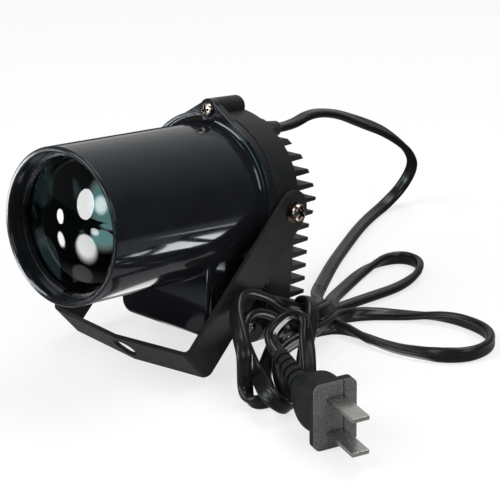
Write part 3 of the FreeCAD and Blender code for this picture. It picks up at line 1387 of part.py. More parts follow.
def least_gap(path):
    """The least clear distance between two strands of one tube, measured on points."""
    radius = float(s.cord_radius)
    points = path.discretize(Number=int(path.Length / radius * SAMPLES_PER_RADIUS))
    step = path.Length / (len(points) - 1)
    skip = int(NEAR_ALONG_SHARE * radius / step)
    return min(a.distanceToPoint(b) for i, a in enumerate(points)
               for b in points[i + skip:]) - 2 * radius


def cord():
    """The free lead from the light to the waist, and the tied loops with the tail to the plug."""
    lead = [ENTRY_TIP, ENTRY_TIP + ENTRY_AXIS * FIRST_RUN] + routed(LEAD_ROUTE, 1.0)
    _, shape = tube("cord_lead", lead)
    keep("cord_lead", solid_feature("cord_lead", shape), Placement())
    loops = FIRST_SIDE_LOOP + SMALL_LOOP + SECOND_SIDE_LOOP + LARGE_LOOP + WRAP + TAIL
    hank = routed(loops, 0.0) + [RELIEF_TIP + RELIEF_AXIS * LAST_RUN, RELIEF_TIP]
    path, shape = tube("cord_hank", hank)
    print("cord_hank least gap to itself", round(least_gap(path), 2))
    keep("cord_hank", solid_feature("cord_hank", shape), Placement())


fill_sheet()
front_housing()
lens_parts()
rear_housing()
housing_seal()
cover_screws()
pivot_parts()
yoke()
light_engine()
driver()
cord_entry()
plug()
cord()
doc.recompute()

for thing in doc.Objects:
    if "Invalid" in thing.State or "Error" in thing.State:
        raise RuntimeError(f"{thing.Name} failed: {thing.State}")
for name, thing in pieces.items():
    shape = thing.Shape
    if shape.isNull() or not shape.isValid():
        raise RuntimeError(f"{name} has no valid shape")
    print(name, len(shape.Solids), round(shape.Volume, 1))

os.makedirs("parts", exist_ok=True)
for name, thing in pieces.items():
    thing.Shape.exportStep(f"parts/{name}.step")
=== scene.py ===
import json
import math
from collections import namedtuple

import bpy
import numpy as np
from mathutils import Matrix, Vector


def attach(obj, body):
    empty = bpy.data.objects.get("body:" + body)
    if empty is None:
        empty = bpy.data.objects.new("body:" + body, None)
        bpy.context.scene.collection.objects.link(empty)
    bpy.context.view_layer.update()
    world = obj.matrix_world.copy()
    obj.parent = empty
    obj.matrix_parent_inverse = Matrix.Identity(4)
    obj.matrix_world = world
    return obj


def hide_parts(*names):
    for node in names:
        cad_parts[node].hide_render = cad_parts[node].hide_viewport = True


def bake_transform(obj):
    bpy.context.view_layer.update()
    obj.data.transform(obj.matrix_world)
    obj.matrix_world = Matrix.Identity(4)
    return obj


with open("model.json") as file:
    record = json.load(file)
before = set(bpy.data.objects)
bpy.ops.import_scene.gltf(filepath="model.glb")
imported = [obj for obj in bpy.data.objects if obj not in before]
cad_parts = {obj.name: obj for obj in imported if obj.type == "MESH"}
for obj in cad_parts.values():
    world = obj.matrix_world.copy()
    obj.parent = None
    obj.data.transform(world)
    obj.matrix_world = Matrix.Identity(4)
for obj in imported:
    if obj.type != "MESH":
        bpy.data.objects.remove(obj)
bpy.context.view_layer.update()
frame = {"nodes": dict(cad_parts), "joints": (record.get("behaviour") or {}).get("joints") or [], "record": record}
nodes = frame["nodes"]
scene = bpy.context.scene

# Pinspot light. Metres, in the frame of the CAD model: +Z up, the barrel points along -Y.

PIVOT = Vector(frame["joints"][0]["pos_m"])
PIVOT_SETBACK = 0.01145
PIVOT_RISE = 0.0004
HEAD_PITCH = math.radians(7.5)


def from_head(x, y, z):
    """A place given along the head's own axes, with Y along the barrel and 0 at the flange."""
    turn = Matrix.Rotation(-HEAD_PITCH, 3, "X")
    return PIVOT + turn @ Vector((x, y - PIVOT_SETBACK, z - PIVOT_RISE))


def add_mesh(name, vertices, faces, material):
    """A mesh object with smooth sides. Faces of more than four corners, its ends, stay flat."""
    mesh = bpy.data.meshes.new(name)
    mesh.from_pydata([tuple(vertex) for vertex in vertices], [], faces)
    mesh.update()
    for polygon in mesh.polygons:
        polygon.use_smooth = len(polygon.vertices) <= 4
    mesh.materials.append(material)
    thing = bpy.data.objects.new(name, mesh)
    scene.collection.objects.link(thing)
    return thing


# Camera

CAMERA_PLACE = (0.36676, -0.37815, 0.24368)
CAMERA_AZIMUTH = math.radians(40.935)
CAMERA_ELEVATION = math.radians(21.457)
CAMERA_ROLL = math.radians(-1.265)
FOCAL_LENGTH_MM = 103.4
SENSOR_WIDTH_MM = 36


def make_camera():
    data = bpy.data.cameras.new("camera")
    data.sensor_width = SENSOR_WIDTH_MM
    data.lens = FOCAL_LENGTH_MM
    data.clip_start = 0.01
    data.clip_end = 20
    camera = bpy.data.objects.new("camera", data)
    scene.collection.objects.link(camera)
    turn = (Matrix.Rotation(CAMERA_AZIMUTH, 4, "Z")
            @ Matrix.Rotation(math.pi / 2 - CAMERA_ELEVATION, 4, "X")
            @ Matrix.Rotation(CAMERA_ROLL, 4, "Z"))
    camera.matrix_world = Matrix.Translation(CAMERA_PLACE) @ turn
    scene.camera = camera


make_camera()


# Materials

def opaque(colour):
    return (*colour, 1)


class Tree:
    """A node tree with short ways to add and join nodes."""

    def __init__(self, tree):
        self.tree = tree

    def add(self, kind, **values):
        node = self.tree.nodes.new("ShaderNode" + kind)
        for key, value in values.items():
            setattr(node, key, value)
        return node

    def feed(self, socket, value):
        """Joins a socket to a node's output, or gives it a fixed value."""
        if isinstance(value, bpy.types.NodeSocket):
            self.tree.links.new(value, socket)
        else:
            socket.default_value = value

    def feed_all(self, node, values):
        for name, value in values.items():
            self.feed(node.inputs[name], value)

    def math(self, operation, *values):
        node = self.add("Math", operation=operation)
        for socket, value in zip(node.inputs, values):
            self.feed(socket, value)
        return node.outputs["Value"]

    def span(self, value, low=0.0, high=1.0, start=0.3, end=0.7, shape="LINEAR"):
        """Goes from low to high while the value goes from start to end."""
        node = self.add("MapRange", interpolation_type=shape)
        self.feed_all(node, {"Value": value, "From Min": start, "From Max": end,
                             "To Min": low, "To Max": high})
        return node.outputs["Result"]

    def mix(self, share, colour, other):
        node = self.add("Mix", data_type="RGBA")
        self.feed(node.inputs["Factor"], share)
        for socket, value in ((node.inputs[6], colour), (node.inputs[7], other)):
            self.feed(socket, opaque(value) if isinstance(value, tuple) else value)
        return node.outputs[2]

    def along(self, vector, direction):
        """How far a vector reaches along a direction."""
        node = self.add("VectorMath", operation="DOT_PRODUCT")
        self.feed(node.inputs[0], vector)
        self.feed(node.inputs[1], direction)
        return node.outputs["Value"]


class Finish(Tree):
    """A material of a piece, with patterns that stay fixed to the piece."""

    def __init__(self, name, sockets=()):
        self.material = bpy.data.materials.new(name)
        self.material.use_nodes = True
        super().__init__(self.material.node_tree)
        self.shader = self.tree.nodes["Principled BSDF"]
        self.where = self.add("TexCoord").outputs["Object"]
        self.feed_all(self.shader, dict(sockets))

    def noise(self, scale, detail=3.0, roughness=0.55, stretch=None, distortion=0.0):
        where = self.where
        if stretch:
            mapping = self.add("Mapping")
            self.feed_all(mapping, {"Vector": where, "Scale": stretch})
            where = mapping.outputs["Vector"]
        node = self.add("TexNoise")
        self.feed_all(node, {"Vector": where, "Scale": scale, "Detail": detail,
                             "Roughness": roughness, "Distortion": distortion})
        return node.outputs["Fac"]

    def ramp(self, value, dark, light, start=0.3, end=0.7):
        node = self.add("ValToRGB")
        stops = ((start, dark), (end, light))
        for element, (position, colour) in zip(node.color_ramp.elements, stops):
            element.position = position
            element.color = opaque(colour)
        self.feed(node.inputs["Fac"], value)
        return node.outputs["Color"]

    def bump(self, height, strength, distance, over=None):
        node = self.add("Bump")
        self.feed_all(node, {"Height": height, "Strength": strength, "Distance": distance})
        if over is not None:
            self.feed(node.inputs["Normal"], over)
        return node.outputs["Normal"]

    def soft_edges(self, radius):
        """Normals of edges rounded to a radius, as moulded and cast parts have them."""
        node = self.add("Bevel", samples=6)
        self.feed(node.inputs["Radius"], radius)
        return node.outputs["Normal"]

    def finish(self, colour, roughness, normal=None):
        self.feed_all(self.shader, {"Base Color": colour, "Roughness": roughness})
        if normal is not None:
            self.feed(self.shader.inputs["Normal"], normal)
        return self.material


COOL_TINT = (0.84, 0.92, 1)


def moulded(name, dark, light, smooth, rough, edge=0.0003, specular=0.5):
    """Injection-moulded plastic: faint flow marks, handling marks in the gloss, soft edges."""
    n = Finish(name, {"Specular IOR Level": specular, "Specular Tint": opaque(COOL_TINT)})
    marks = n.math("MULTIPLY", n.noise(420, detail=5, roughness=0.65), n.noise(45, detail=2))
    colour = n.ramp(n.noise(90, detail=4), dark, light, end=0.72)
    gloss = n.span(marks, smooth, rough, start=0.15, end=0.4)
    normal = n.bump(n.noise(120, detail=2), strength=0.03, distance=0.0004,
                    over=n.soft_edges(edge))
    return n.finish(colour, gloss, normal)


def cast(name, dark, light, smooth, rough, grain=0.25, edge=0.0004, specular=0.25):
    """Sprayed metal: a fine orange peel, slightly paler in patches."""
    n = Finish(name, {"Specular IOR Level": specular})
    colour = n.ramp(n.noise(160, detail=4, roughness=0.6), dark, light)
    gloss = n.span(n.noise(700), smooth, rough)
    normal = n.bump(n.noise(1900, roughness=0.6), strength=grain, distance=0.00012,
                    over=n.soft_edges(edge))
    return n.finish(colour, gloss, normal)


# Painted shade for the recesses of metal parts: how far ambient occlusion looks, and the dark colour it paints
# there.
RECESS_SHADE_REACH = 0.0020
RECESS_PAINTED_SHADE = (0.012, 0.010, 0.009)


def metal(name, base, tint, smooth, rough, brushed=None, edge=0.00015):
    """Plated metal with a second tint in places, fine tool marks and painted shade in its recesses."""
    n = Finish(name, {"Metallic": 1.0})
    # Painted shade: the plating colour goes dark where ambient occlusion finds a recess.
    recess_shade_probe = n.add("AmbientOcclusion", samples=8, only_local=True)
    n.feed(recess_shade_probe.inputs["Distance"], RECESS_SHADE_REACH)
    outside = n.span(recess_shade_probe.outputs["AO"], start=0.76, end=0.98)
    plating = n.ramp(n.noise(700), base, tint, start=0.35, end=0.68)
    colour = n.mix(outside, RECESS_PAINTED_SHADE, plating)
    gloss = n.span(n.noise(1500, detail=4, roughness=0.6, stretch=brushed), smooth, rough)
    normal = n.bump(n.noise(2500, detail=2, roughness=0.5, stretch=brushed), strength=0.12,
                    distance=0.00005, over=n.soft_edges(edge))
    return n.finish(colour, gloss, normal)


def painted(name, dark, light, smooth=0.3, rough=0.5):
    """Paint, rubber, board or plain plastic with a faint grain."""
    n = Finish(name)
    colour = n.ramp(n.noise(500, detail=4), dark, light)
    gloss = n.span(n.noise(900), smooth, rough)
    normal = n.bump(n.noise(1800, detail=2), strength=0.15, distance=0.00008)
    return n.finish(colour, gloss, normal)


def coated_glass():
    """Dark teal lens glass with faint smears."""
    n = Finish("coated_glass", {"Transmission Weight": 1.0, "IOR": 1.5})
    colour = n.ramp(n.noise(60, detail=2), (0.011, 0.020, 0.022), (0.017, 0.028, 0.030))
    smears = n.noise(220, detail=5, roughness=0.7, distortion=0.6)
    return n.finish(colour, n.span(smears, 0.0, 0.035, start=0.45, end=0.8))


def clear_plastic():
    """Clear acrylic of the optics behind the lens."""
    n = Finish("clear_acrylic", {"Transmission Weight": 1.0, "IOR": 1.49})
    colour = n.ramp(n.noise(200, detail=2), (0.93, 0.95, 0.95), (0.97, 0.98, 0.98))
    return n.finish(colour, n.span(n.noise(900), 0.02, 0.08))


def cord_skin():
    """Satin PVC cord jacket with scuffs, a fine grain and slight unevenness."""
    n = Finish("cord_pvc", {"Specular IOR Level": 0.29})
    colour = n.ramp(n.noise(110, detail=4), (0.005, 0.005, 0.0055), (0.010, 0.010, 0.011),
                    end=0.75)
    gloss = n.span(n.noise(650, detail=5, roughness=0.7), 0.26, 0.36)
    grain = n.bump(n.noise(2600, detail=2), strength=0.03, distance=0.00005)
    normal = n.bump(n.noise(170), strength=0.06, distance=0.0003, over=grain)
    return n.finish(colour, gloss, normal)


PLUG_MIDDLE = Vector((0.1039, -0.0326, 0.0125))
PLUG_ACROSS = Vector((0.4003, 0.9164, 0))
PLUG_AHEAD = Vector((0.9164, -0.4003, 0))
PARTING_LINE_OFFSET = 0.0032
PARTING_LINE_INNER = 0.0001
PARTING_LINE_OUTER = 0.00028
# How far in from the plug's front face its painted light starts, and where it is full.
LIT_FACE_DEPTH = 0.0010
LIT_FACE_EDGE_DEPTH = 0.0002


def plug_skin():
    """Coarse-grained plug plastic with painted light that makes its front face paler, and a parting line down the
    face.
    """
    n = Finish("plug_plastic", {"Specular IOR Level": 0.12})
    grain = n.noise(1500, roughness=0.7)
    body = n.ramp(grain, (0.005, 0.0055, 0.006), (0.018, 0.019, 0.020), start=0.32, end=0.72)
    # Painted light: the front face is painted paler, as the lit side of the plug.
    painted_lit_face = n.ramp(grain, (0.060, 0.061, 0.062), (0.160, 0.161, 0.160), start=0.32, end=0.72)
    front = PLUG_MIDDLE.dot(PLUG_AHEAD)
    lit_face_share = n.span(n.along(n.where, PLUG_AHEAD), start=front - LIT_FACE_DEPTH,
                     end=front - LIT_FACE_EDGE_DEPTH)
    line_place = PLUG_MIDDLE.dot(PLUG_ACROSS) + PARTING_LINE_OFFSET
    from_line = n.math("ABSOLUTE", n.math("SUBTRACT", n.along(n.where, PLUG_ACROSS), line_place))
    off_line = n.span(from_line, start=PARTING_LINE_INNER, end=PARTING_LINE_OUTER)
    colour = n.mix(off_line, (0.004, 0.004, 0.004), n.mix(lit_face_share, body, painted_lit_face))
    normal = n.bump(n.noise(1100, roughness=0.7), strength=0.5, distance=0.00022,
                    over=n.soft_edges(0.0005))
    normal = n.bump(off_line, strength=0.4, distance=0.0002, over=normal)
    return n.finish(colour, n.span(grain, 0.42, 0.62), normal)


MOULDED = {
    "glossy_black": dict(dark=(0.0075, 0.0080, 0.0095), light=(0.0105, 0.0115, 0.0135),
                         smooth=0.06, rough=0.14, edge=0.0005, specular=0.55),
    "ring_black": dict(dark=(0.006, 0.006, 0.007), light=(0.011, 0.011, 0.012),
                       smooth=0.2, rough=0.34),
    "holder_plastic": dict(dark=(0.010, 0.010, 0.011), light=(0.018, 0.018, 0.019),
                           smooth=0.35, rough=0.5),
}

CAST = {
    "cast_black": dict(dark=(0.0085, 0.0095, 0.0100), light=(0.0135, 0.0145, 0.0150),
                       smooth=0.36, rough=0.52),
    "powder_black": dict(dark=(0.0130, 0.0140, 0.0138), light=(0.0200, 0.0215, 0.0205),
                         smooth=0.34, rough=0.48, grain=0.16, edge=0.0003, specular=0.09),
}

METAL = {
    "nickel_steel": dict(base=(0.36, 0.33, 0.30), tint=(0.30, 0.23, 0.17),
                         smooth=0.16, rough=0.32),
    "brass": dict(base=(0.72, 0.52, 0.24), tint=(0.62, 0.43, 0.20), smooth=0.2, rough=0.35),
    "can_aluminium": dict(base=(0.60, 0.61, 0.63), tint=(0.52, 0.53, 0.55),
                          smooth=0.25, rough=0.4),
    "blade_nickel": dict(base=(0.50, 0.50, 0.48), tint=(0.42, 0.42, 0.40),
                         smooth=0.22, rough=0.30, brushed=(1, 1, 0.15), edge=0.0003),
    "washer_bronze": dict(base=(0.20, 0.15, 0.12), tint=(0.13, 0.09, 0.075),
                          smooth=0.2, rough=0.32),
    "spring_dark": dict(base=(0.05, 0.045, 0.045), tint=(0.08, 0.065, 0.06),
                        smooth=0.2, rough=0.32),
}

PAINTED = {
    "seal_rubber": dict(dark=(0.010, 0.010, 0.010), light=(0.018, 0.018, 0.018),
                        smooth=0.6, rough=0.8),
    "friction_fibre": dict(dark=(0.09, 0.07, 0.05), light=(0.16, 0.13, 0.09),
                           smooth=0.7, rough=0.9),
    "board_white": dict(dark=(0.72, 0.72, 0.70), light=(0.80, 0.80, 0.78),
                        smooth=0.25, rough=0.4),
    "phosphor": dict(dark=(0.70, 0.56, 0.10), light=(0.80, 0.68, 0.18)),
    "board_green": dict(dark=(0.012, 0.10, 0.035), light=(0.02, 0.15, 0.05),
                        smooth=0.25, rough=0.4),
    "ferrite": dict(dark=(0.045, 0.045, 0.048), light=(0.075, 0.075, 0.08),
                    smooth=0.4, rough=0.6),
    "terminal_plastic": dict(dark=(0.02, 0.14, 0.06), light=(0.03, 0.19, 0.08)),
    "wire_insulation": dict(dark=(0.25, 0.02, 0.015), light=(0.34, 0.03, 0.02)),
    "gland_nylon": dict(dark=(0.012, 0.012, 0.013), light=(0.022, 0.022, 0.023),
                        smooth=0.3, rough=0.45),
    "sleeve_rubber": dict(dark=(0.010, 0.010, 0.011), light=(0.019, 0.019, 0.020),
                          smooth=0.42, rough=0.6),
    "thermal_silicone": dict(dark=(0.32, 0.32, 0.34), light=(0.4, 0.4, 0.42),
                             smooth=0.6, rough=0.8),
}

FINISHES = {"coated_glass": coated_glass(), "clear_acrylic": clear_plastic(),
            "cord_pvc": cord_skin(), "plug_plastic": plug_skin()}
for make, looks in ((moulded, MOULDED), (cast, CAST), (metal, METAL), (painted, PAINTED)):
    for name, look in looks.items():
        FINISHES[name] = make(name, **look)

SLOT_OF = {part["node"]: part["material_slot"] for part in frame["record"]["subparts"]}
OWN_FINISH = {"plug_blades": "blade_nickel", "pivot_washers": "washer_bronze",
              "spring_washers": "spring_dark"}

for name, thing in nodes.items():
    thing.data.materials.clear()
    thing.data.materials.append(FINISHES[OWN_FINISH.get(name, SLOT_OF[name])])


# Screws with pan heads and tapered cross recesses

Screw = namedtuple("Screw", "radius height shank_radius shank_length")
PIVOT_SCREW = Screw(radius=0.0037, height=0.0025, shank_radius=0.002, shank_length=0.009)
COVER_SCREW = Screw(radius=0.0028, height=0.0019, shank_radius=0.0015, shank_length=0.013)
SCREW_SIDES = 96
HEAD_RINGS = 46

# Shares of the head's radius, and of its height for the drops and the depth
DOME_DROP = 0.22
RIM_START = 0.8
RIM_DROP = 0.55
ARM_REACH = 0.62
ARM_HALF_WIDTH = 0.175
ARM_TAPER = 0.045
ARM_WALL = 0.02
ARM_END_WALL = 0.08
CORE_REACH = 0.34
CORE_WALL = 0.03
RECESS_DEPTH = 0.62
RECESS_RISE = 0.3

HEAD_AXIS = (from_head(0, -0.01, 0) - from_head(0, 0, 0)).normalized()
EAR_SIDE = 0.0279
EAR_DROP = 0.0463
TOP_EAR_HEIGHT = 0.0354


def wall(inside, thickness):
    """0 outside a recess, 1 past its wall, and straight in between."""
    return min(1, max(0, inside / thickness))


def head_height(r, angle, radius, height):
    """Height of a cross-recessed pan head above its seat, at a radius and an angle."""
    share = r / radius
    rim = max(0, (share - RIM_START) / (1 - RIM_START))
    dome = height * (1 - DOME_DROP * share ** 2 - RIM_DROP * rim ** 2)
    u, v = abs(r * math.cos(angle)), abs(r * math.sin(angle))
    along, across = max(u, v) / (ARM_REACH * radius), min(u, v) / radius
    arm = wall(ARM_HALF_WIDTH - ARM_TAPER * along - across, ARM_WALL)
    arm *= wall(1 - along, ARM_END_WALL)
    core = wall(CORE_REACH - (u + v) / radius, CORE_WALL)
    depth = height * RECESS_DEPTH * (1 - RECESS_RISE * min(1, along))
    return dome - max(arm, core) * depth


def add_screw(vertices, faces, seat, axis, turn, screw):
    """Adds a screw with its seat at a place and its head along an axis."""
    around = SCREW_SIDES
    basis = axis.to_track_quat("Z", "Y").to_matrix()
    start = len(vertices)
    levels = [(screw.radius * k / HEAD_RINGS, None) for k in range(1, HEAD_RINGS + 1)]
    levels += [(screw.radius, 0.0), (screw.shank_radius, 0.0),
               (screw.shank_radius, -screw.shank_length)]
    middle = head_height(0, 0, screw.radius, screw.height)
    vertices.append(seat + basis @ Vector((0, 0, middle)))
    for r, level in levels:
        for k in range(around):
            angle = 2 * math.pi * k / around
            z = head_height(r, angle, screw.radius, screw.height) if level is None else level
            vertices.append(seat + basis @ Vector((r * math.cos(angle + turn),
                                                   r * math.sin(angle + turn), z)))
    for k in range(around):
        faces.append((start, start + 1 + k, start + 1 + (k + 1) % around))
    for ring in range(len(levels) - 1):
        a, b = start + 1 + ring * around, start + 1 + (ring + 1) * around
        for k in range(around):
            j = (k + 1) % around
            faces.append((a + k, b + k, b + j, a + j))
    last = start + 1 + (len(levels) - 1) * around
    faces.append(tuple(last + k for k in range(around - 1, -1, -1)))


def screws(name, node, places, screw):
    vertices, faces = [], []
    for seat, axis, turn in places:
        add_screw(vertices, faces, seat, axis, turn, screw)
    thing = add_mesh(name, vertices, faces, FINISHES["nickel_steel"])
    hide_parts(node)
    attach(thing, "head")


pivot_top = max((nodes["pivot_screws"].matrix_world @ v.co).x
                for v in nodes["pivot_screws"].data.vertices)
pivot_seat = pivot_top - PIVOT_SCREW.height
screws("pivot_screws_crossed", "pivot_screws",
       [(Vector((pivot_seat, PIVOT.y, PIVOT.z)), Vector((1, 0, 0)), 0.75),
        (Vector((-pivot_seat, PIVOT.y, PIVOT.z)), Vector((-1, 0, 0)), 0.2)],
       PIVOT_SCREW)
screws("cover_screws_crossed", "cover_screws",
       [(from_head(0, 0, TOP_EAR_HEIGHT), HEAD_AXIS, 0.3),
        (from_head(EAR_SIDE, 0, -EAR_DROP), HEAD_AXIS, 0.9),
        (from_head(-EAR_SIDE, 0, -EAR_DROP), HEAD_AXIS, 0.5)],
       COVER_SCREW)


# Cord: a flat twin lead whose wide side is a cord's width

CORD_WIDTH = 0.006
CORD_THICKNESS = 0.0032
EDGE_POINTS = 9
HALF_GROOVE = [(0.0008, 0.00159), (0.0004, 0.00155), (0, 0.00152)]
ENTRY_TIP = Vector((0, 0.062688, 0.072399))
ENTRY_AXIS = Vector((0, 0.99144, -0.13053))
FIRST_RUN = 0.010
WIDE_AT_ENTRY = np.array([1.0, 0, 0])
WIDE_AT_PLUG = np.array([0.39, 0.92, 0.0])

LEAD_ROUTE = [
    (0, 0.086, 0.0736), (0, 0.103, 0.0696), (-0.0005, 0.121, 0.0615), (-0.0025, 0.141, 0.0525),
    (-0.006, 0.159, 0.0425), (-0.010, 0.1755, 0.032), (-0.0145, 0.1865, 0.021),
    (-0.020, 0.1845, 0.009), (-0.022, 0.172, 0.0022), (-0.0185, 0.156, 0.002),
    (-0.012, 0.137, 0.0025), (-0.004, 0.116, 0.002), (0.005, 0.095, 0.0025),
    (0.015, 0.0745, 0.0025)]

FIRST_SIDE_LOOP = [
    (0.0205, 0.065, 0.004), (0.0275, 0.053, 0.0058), (0.040, 0.043, 0.010),
    (0.0435, 0.034, 0.012), (0.044, 0.026, 0.0135), (0.0415, 0.0175, 0.0185),
    (0.0405, 0.005, 0.027), (0.040, -0.0075, 0.033), (0.045, -0.0165, 0.0295),
    (0.053, -0.023, 0.024), (0.058, -0.0265, 0.020), (0.0585, -0.027, 0.0145),
    (0.0575, -0.026, 0.007), (0.060, -0.028, 0.003), (0.065, -0.029, 0.002),
    (0.068, -0.0245, 0.002), (0.066, -0.0195, 0.002), (0.0595, -0.0155, 0.002),
    (0.051, -0.0085, 0.002), (0.0435, 0.0045, 0.002)]

SMALL_LOOP = [
    (0.039, 0.013, 0.0035), (0.041, 0.019, 0.0095), (0.0475, 0.022, 0.012),
    (0.050, 0.0275, 0.014), (0.0475, 0.037, 0.0125), (0.0415, 0.048, 0.0085),
    (0.031, 0.059, 0.0035), (0.0245, 0.0785, 0.002), (0.020, 0.097, 0.002),
    (0.0205, 0.1095, 0.002), (0.024, 0.1175, 0.002), (0.0295, 0.120, 0.002),
    (0.037, 0.1175, 0.002), (0.042, 0.108, 0.002), (0.043, 0.092, 0.002),
    (0.0395, 0.0725, 0.0025), (0.0355, 0.0535, 0.0025), (0.042, 0.038, 0.007),
    (0.046, 0.0275, 0.0065)]

SECOND_SIDE_LOOP = [
    (0.0465, 0.0195, 0.006), (0.0465, 0.015, 0.011), (0.0455, 0.008, 0.018),
    (0.0435, -0.003, 0.0245), (0.0445, -0.0115, 0.024), (0.048, -0.0165, 0.0185),
    (0.056, -0.019, 0.0095), (0.0645, -0.025, 0.0095), (0.0705, -0.0305, 0.0105),
    (0.0755, -0.0315, 0.0085), (0.0775, -0.028, 0.005), (0.0755, -0.0225, 0.002),
    (0.0695, -0.016, 0.002), (0.0585, -0.0075, 0.0025), (0.050, 0.0015, 0.005),
    (0.049, 0.009, 0.0075)]

LARGE_LOOP = [
    (0.053, 0.0205, 0.0095), (0.0485, 0.0375, 0.0085), (0.0435, 0.049, 0.004),
    (0.0475, 0.0585, 0.002), (0.060, 0.069, 0.002), (0.0775, 0.078, 0.002),
    (0.097, 0.076, 0.002), (0.106, 0.066, 0.002), (0.105, 0.0525, 0.002),
    (0.095, 0.0445, 0.002), (0.0755, 0.0405, 0.002), (0.060, 0.042, 0.002)]

WRAP = [
    (0.049, 0.042, 0.002), (0.0435, 0.036, 0.002), (0.041, 0.0295, 0.003),
    (0.0395, 0.0275, 0.008), (0.0395, 0.028, 0.0155), (0.0425, 0.027, 0.019),
    (0.0485, 0.025, 0.0195), (0.0535, 0.0185, 0.016), (0.057, 0.0095, 0.007)]

TAIL = [
    (0.066, -0.0035, 0.002), (0.0715, -0.010, 0.002), (0.0765, -0.0145, 0.003),
    (0.0785, -0.015, 0.0075), (0.0765, -0.0125, 0.012), (0.0725, -0.008, 0.0165),
    (0.068, -0.0035, 0.0215), (0.0655, -0.0005, 0.0275), (0.0605, -0.003, 0.0285),
    (0.0575, -0.008, 0.0245), (0.0577, -0.0122, 0.0215), (0.06117, -0.01393, 0.01910),
    (0.06604, -0.01606, 0.01768)]

SPLINE_ORDER = 3
SPLINE_STEPS = 12
SHORTEST_STEP = 0.0002

LYING_HEIGHT = 0.002
LYING_FADE = 0.002
LYING_WEIGHT = 0.12
BEND_REACH = 0.012
TOUCH_DISTANCE = 0.0056
TOUCH_FADE = 0.002
TOUCH_WEIGHT = 0.3
OWN_STRETCH = 0.012
END_PLACES = 6
END_WEIGHT = 40
TANGENT_WEIGHT = 50
PULL_PASSES = 18
WIDE_PASSES = 200
SURFACE_GAP = 0.0002
LIFT_PASSES = 4


def route_curve(points):
    curve = bpy.data.curves.new("route", "CURVE")
    curve.dimensions = "3D"
    spline = curve.splines.new("NURBS")
    spline.points.add(len(points) - 1)
    for point, place in zip(spline.points, points):
        point.co = (*place, 1)
    spline.order_u = SPLINE_ORDER
    spline.use_endpoint_u = True
    spline.resolution_u = SPLINE_STEPS
    return curve


def centreline(points):
    """Places along the smooth spline of a route, and its length."""
    curve = route_curve(points)
    holder = bpy.data.objects.new("route", curve)
    scene.collection.objects.link(holder)
    bpy.context.view_layer.update()
    line = bpy.data.meshes.new_from_object(holder)
    places = np.array([vertex.co for vertex in line.vertices], float)
    bpy.data.objects.remove(holder)
    bpy.data.curves.remove(curve)
    bpy.data.meshes.remove(line)
    steps = np.linalg.norm(np.diff(places, axis=0), axis=1)
    places = places[np.concatenate([[True], steps > SHORTEST_STEP])]
    length = float(np.sum(np.linalg.norm(np.diff(places, axis=0), axis=1)))
    return places, length


def unit(vectors):
    return vectors / np.maximum(np.linalg.norm(vectors, axis=-1, keepdims=True), 1e-12)


def smooth_along(values, passes):
    """Evens out values along a line by their neighbours, and leaves the two ends alone."""
    for _ in range(passes):
        inner = 0.25 * values[:-2] + 0.5 * values[1:-1] + 0.25 * values[2:]
        values = np.concatenate([values[:1], inner, values[-1:]])
    return values


def touching_pull(places, run, i):
    """Turns the wide side away from strands that touch the cord at a place."""
    apart = places - places[i]
    distance = np.linalg.norm(apart, axis=1)
    near = (distance < TOUCH_DISTANCE) & (np.abs(run - run[i]) > OWN_STRETCH)
    if not near.any():
        return np.zeros((3, 3))
    way = apart[near] / distance[near][:, None]
    weight = ((TOUCH_DISTANCE - distance[near]) / TOUCH_FADE) ** 2
    return TOUCH_WEIGHT * np.einsum("n,ni,nj->ij", weight, way, way)


def wide_directions(places):
    """The direction of the flat cord's wide side along its line: across the bends, level where it
    lies on the surface, and along a neighbouring strand's face where one touches."""
    count = len(places)
    steps = np.linalg.norm(np.diff(places, axis=0), axis=1)
    run = np.concatenate([[0], np.cumsum(steps)])
    tangent = unit(np.gradient(places, run, axis=0))
    bend = np.gradient(tangent, run, axis=0)
    pull = np.einsum("ni,nj->nij", bend, bend) * BEND_REACH ** 2
    lying = np.exp(-np.maximum(places[:, 2] - LYING_HEIGHT, 0) / LYING_FADE)
    pull += LYING_WEIGHT * lying[:, None, None] * np.outer([0, 0, 1], [0, 0, 1])
    for i in range(count):
        pull[i] += touching_pull(places, run, i)
    for wanted, ends in ((WIDE_AT_ENTRY, slice(0, END_PLACES)),
                         (WIDE_AT_PLUG, slice(count - END_PLACES, count))):
        pull[ends] = END_WEIGHT * (np.eye(3) - np.outer(wanted, wanted))
    pull = smooth_along(pull.reshape(count, 9), PULL_PASSES).reshape(count, 3, 3)
    wide = np.zeros((count, 3))
    for i in range(count):
        along = np.outer(tangent[i], tangent[i])
        flat = np.eye(3) - along
        wide[i] = np.linalg.eigh(flat @ pull[i] @ flat + TANGENT_WEIGHT * along)[1][:, 0]
        if i and wide[i] @ wide[i - 1] < 0:
            wide[i] = -wide[i]
    wide = smooth_along(wide, WIDE_PASSES)
    wide -= tangent * np.einsum("ni,ni->n", wide, tangent)[:, None]
    return tangent, unit(wide)


def twin_profile():
    """Half-round edges, nearly flat faces and a shallow groove along the middle."""
    radius = CORD_THICKNESS / 2
    middle = CORD_WIDTH / 2 - radius
    points = []
    for side, first in ((1, -90), (-1, 90)):
        for degrees in np.linspace(first, first + 180, EDGE_POINTS):
            angle = math.radians(degrees)
            points.append((side * middle + radius * math.cos(angle), radius * math.sin(angle)))
        points += [(side * x, side * z) for x, z in HALF_GROOVE]
        points += [(-side * x, side * z) for x, z in HALF_GROOVE[-2::-1]]
    return np.array(points)


def cord_rings(places, wide, tangent):
    """Rings of the twin profile, lifted where an edge would sink into the surface."""
    profile = twin_profile()
    side = unit(np.cross(tangent, wide))
    rings = (places[:, None, :] + profile[None, :, 0, None] * wide[:, None, :]
             + profile[None, :, 1, None] * side[:, None, :])
    sunk = np.maximum(SURFACE_GAP - rings[:, :, 2].min(axis=1), 0)[:, None]
    lift = smooth_along(sunk, LIFT_PASSES)
    rings[:, :, 2] += lift
    return rings, places + np.array([0, 0, 1]) * lift


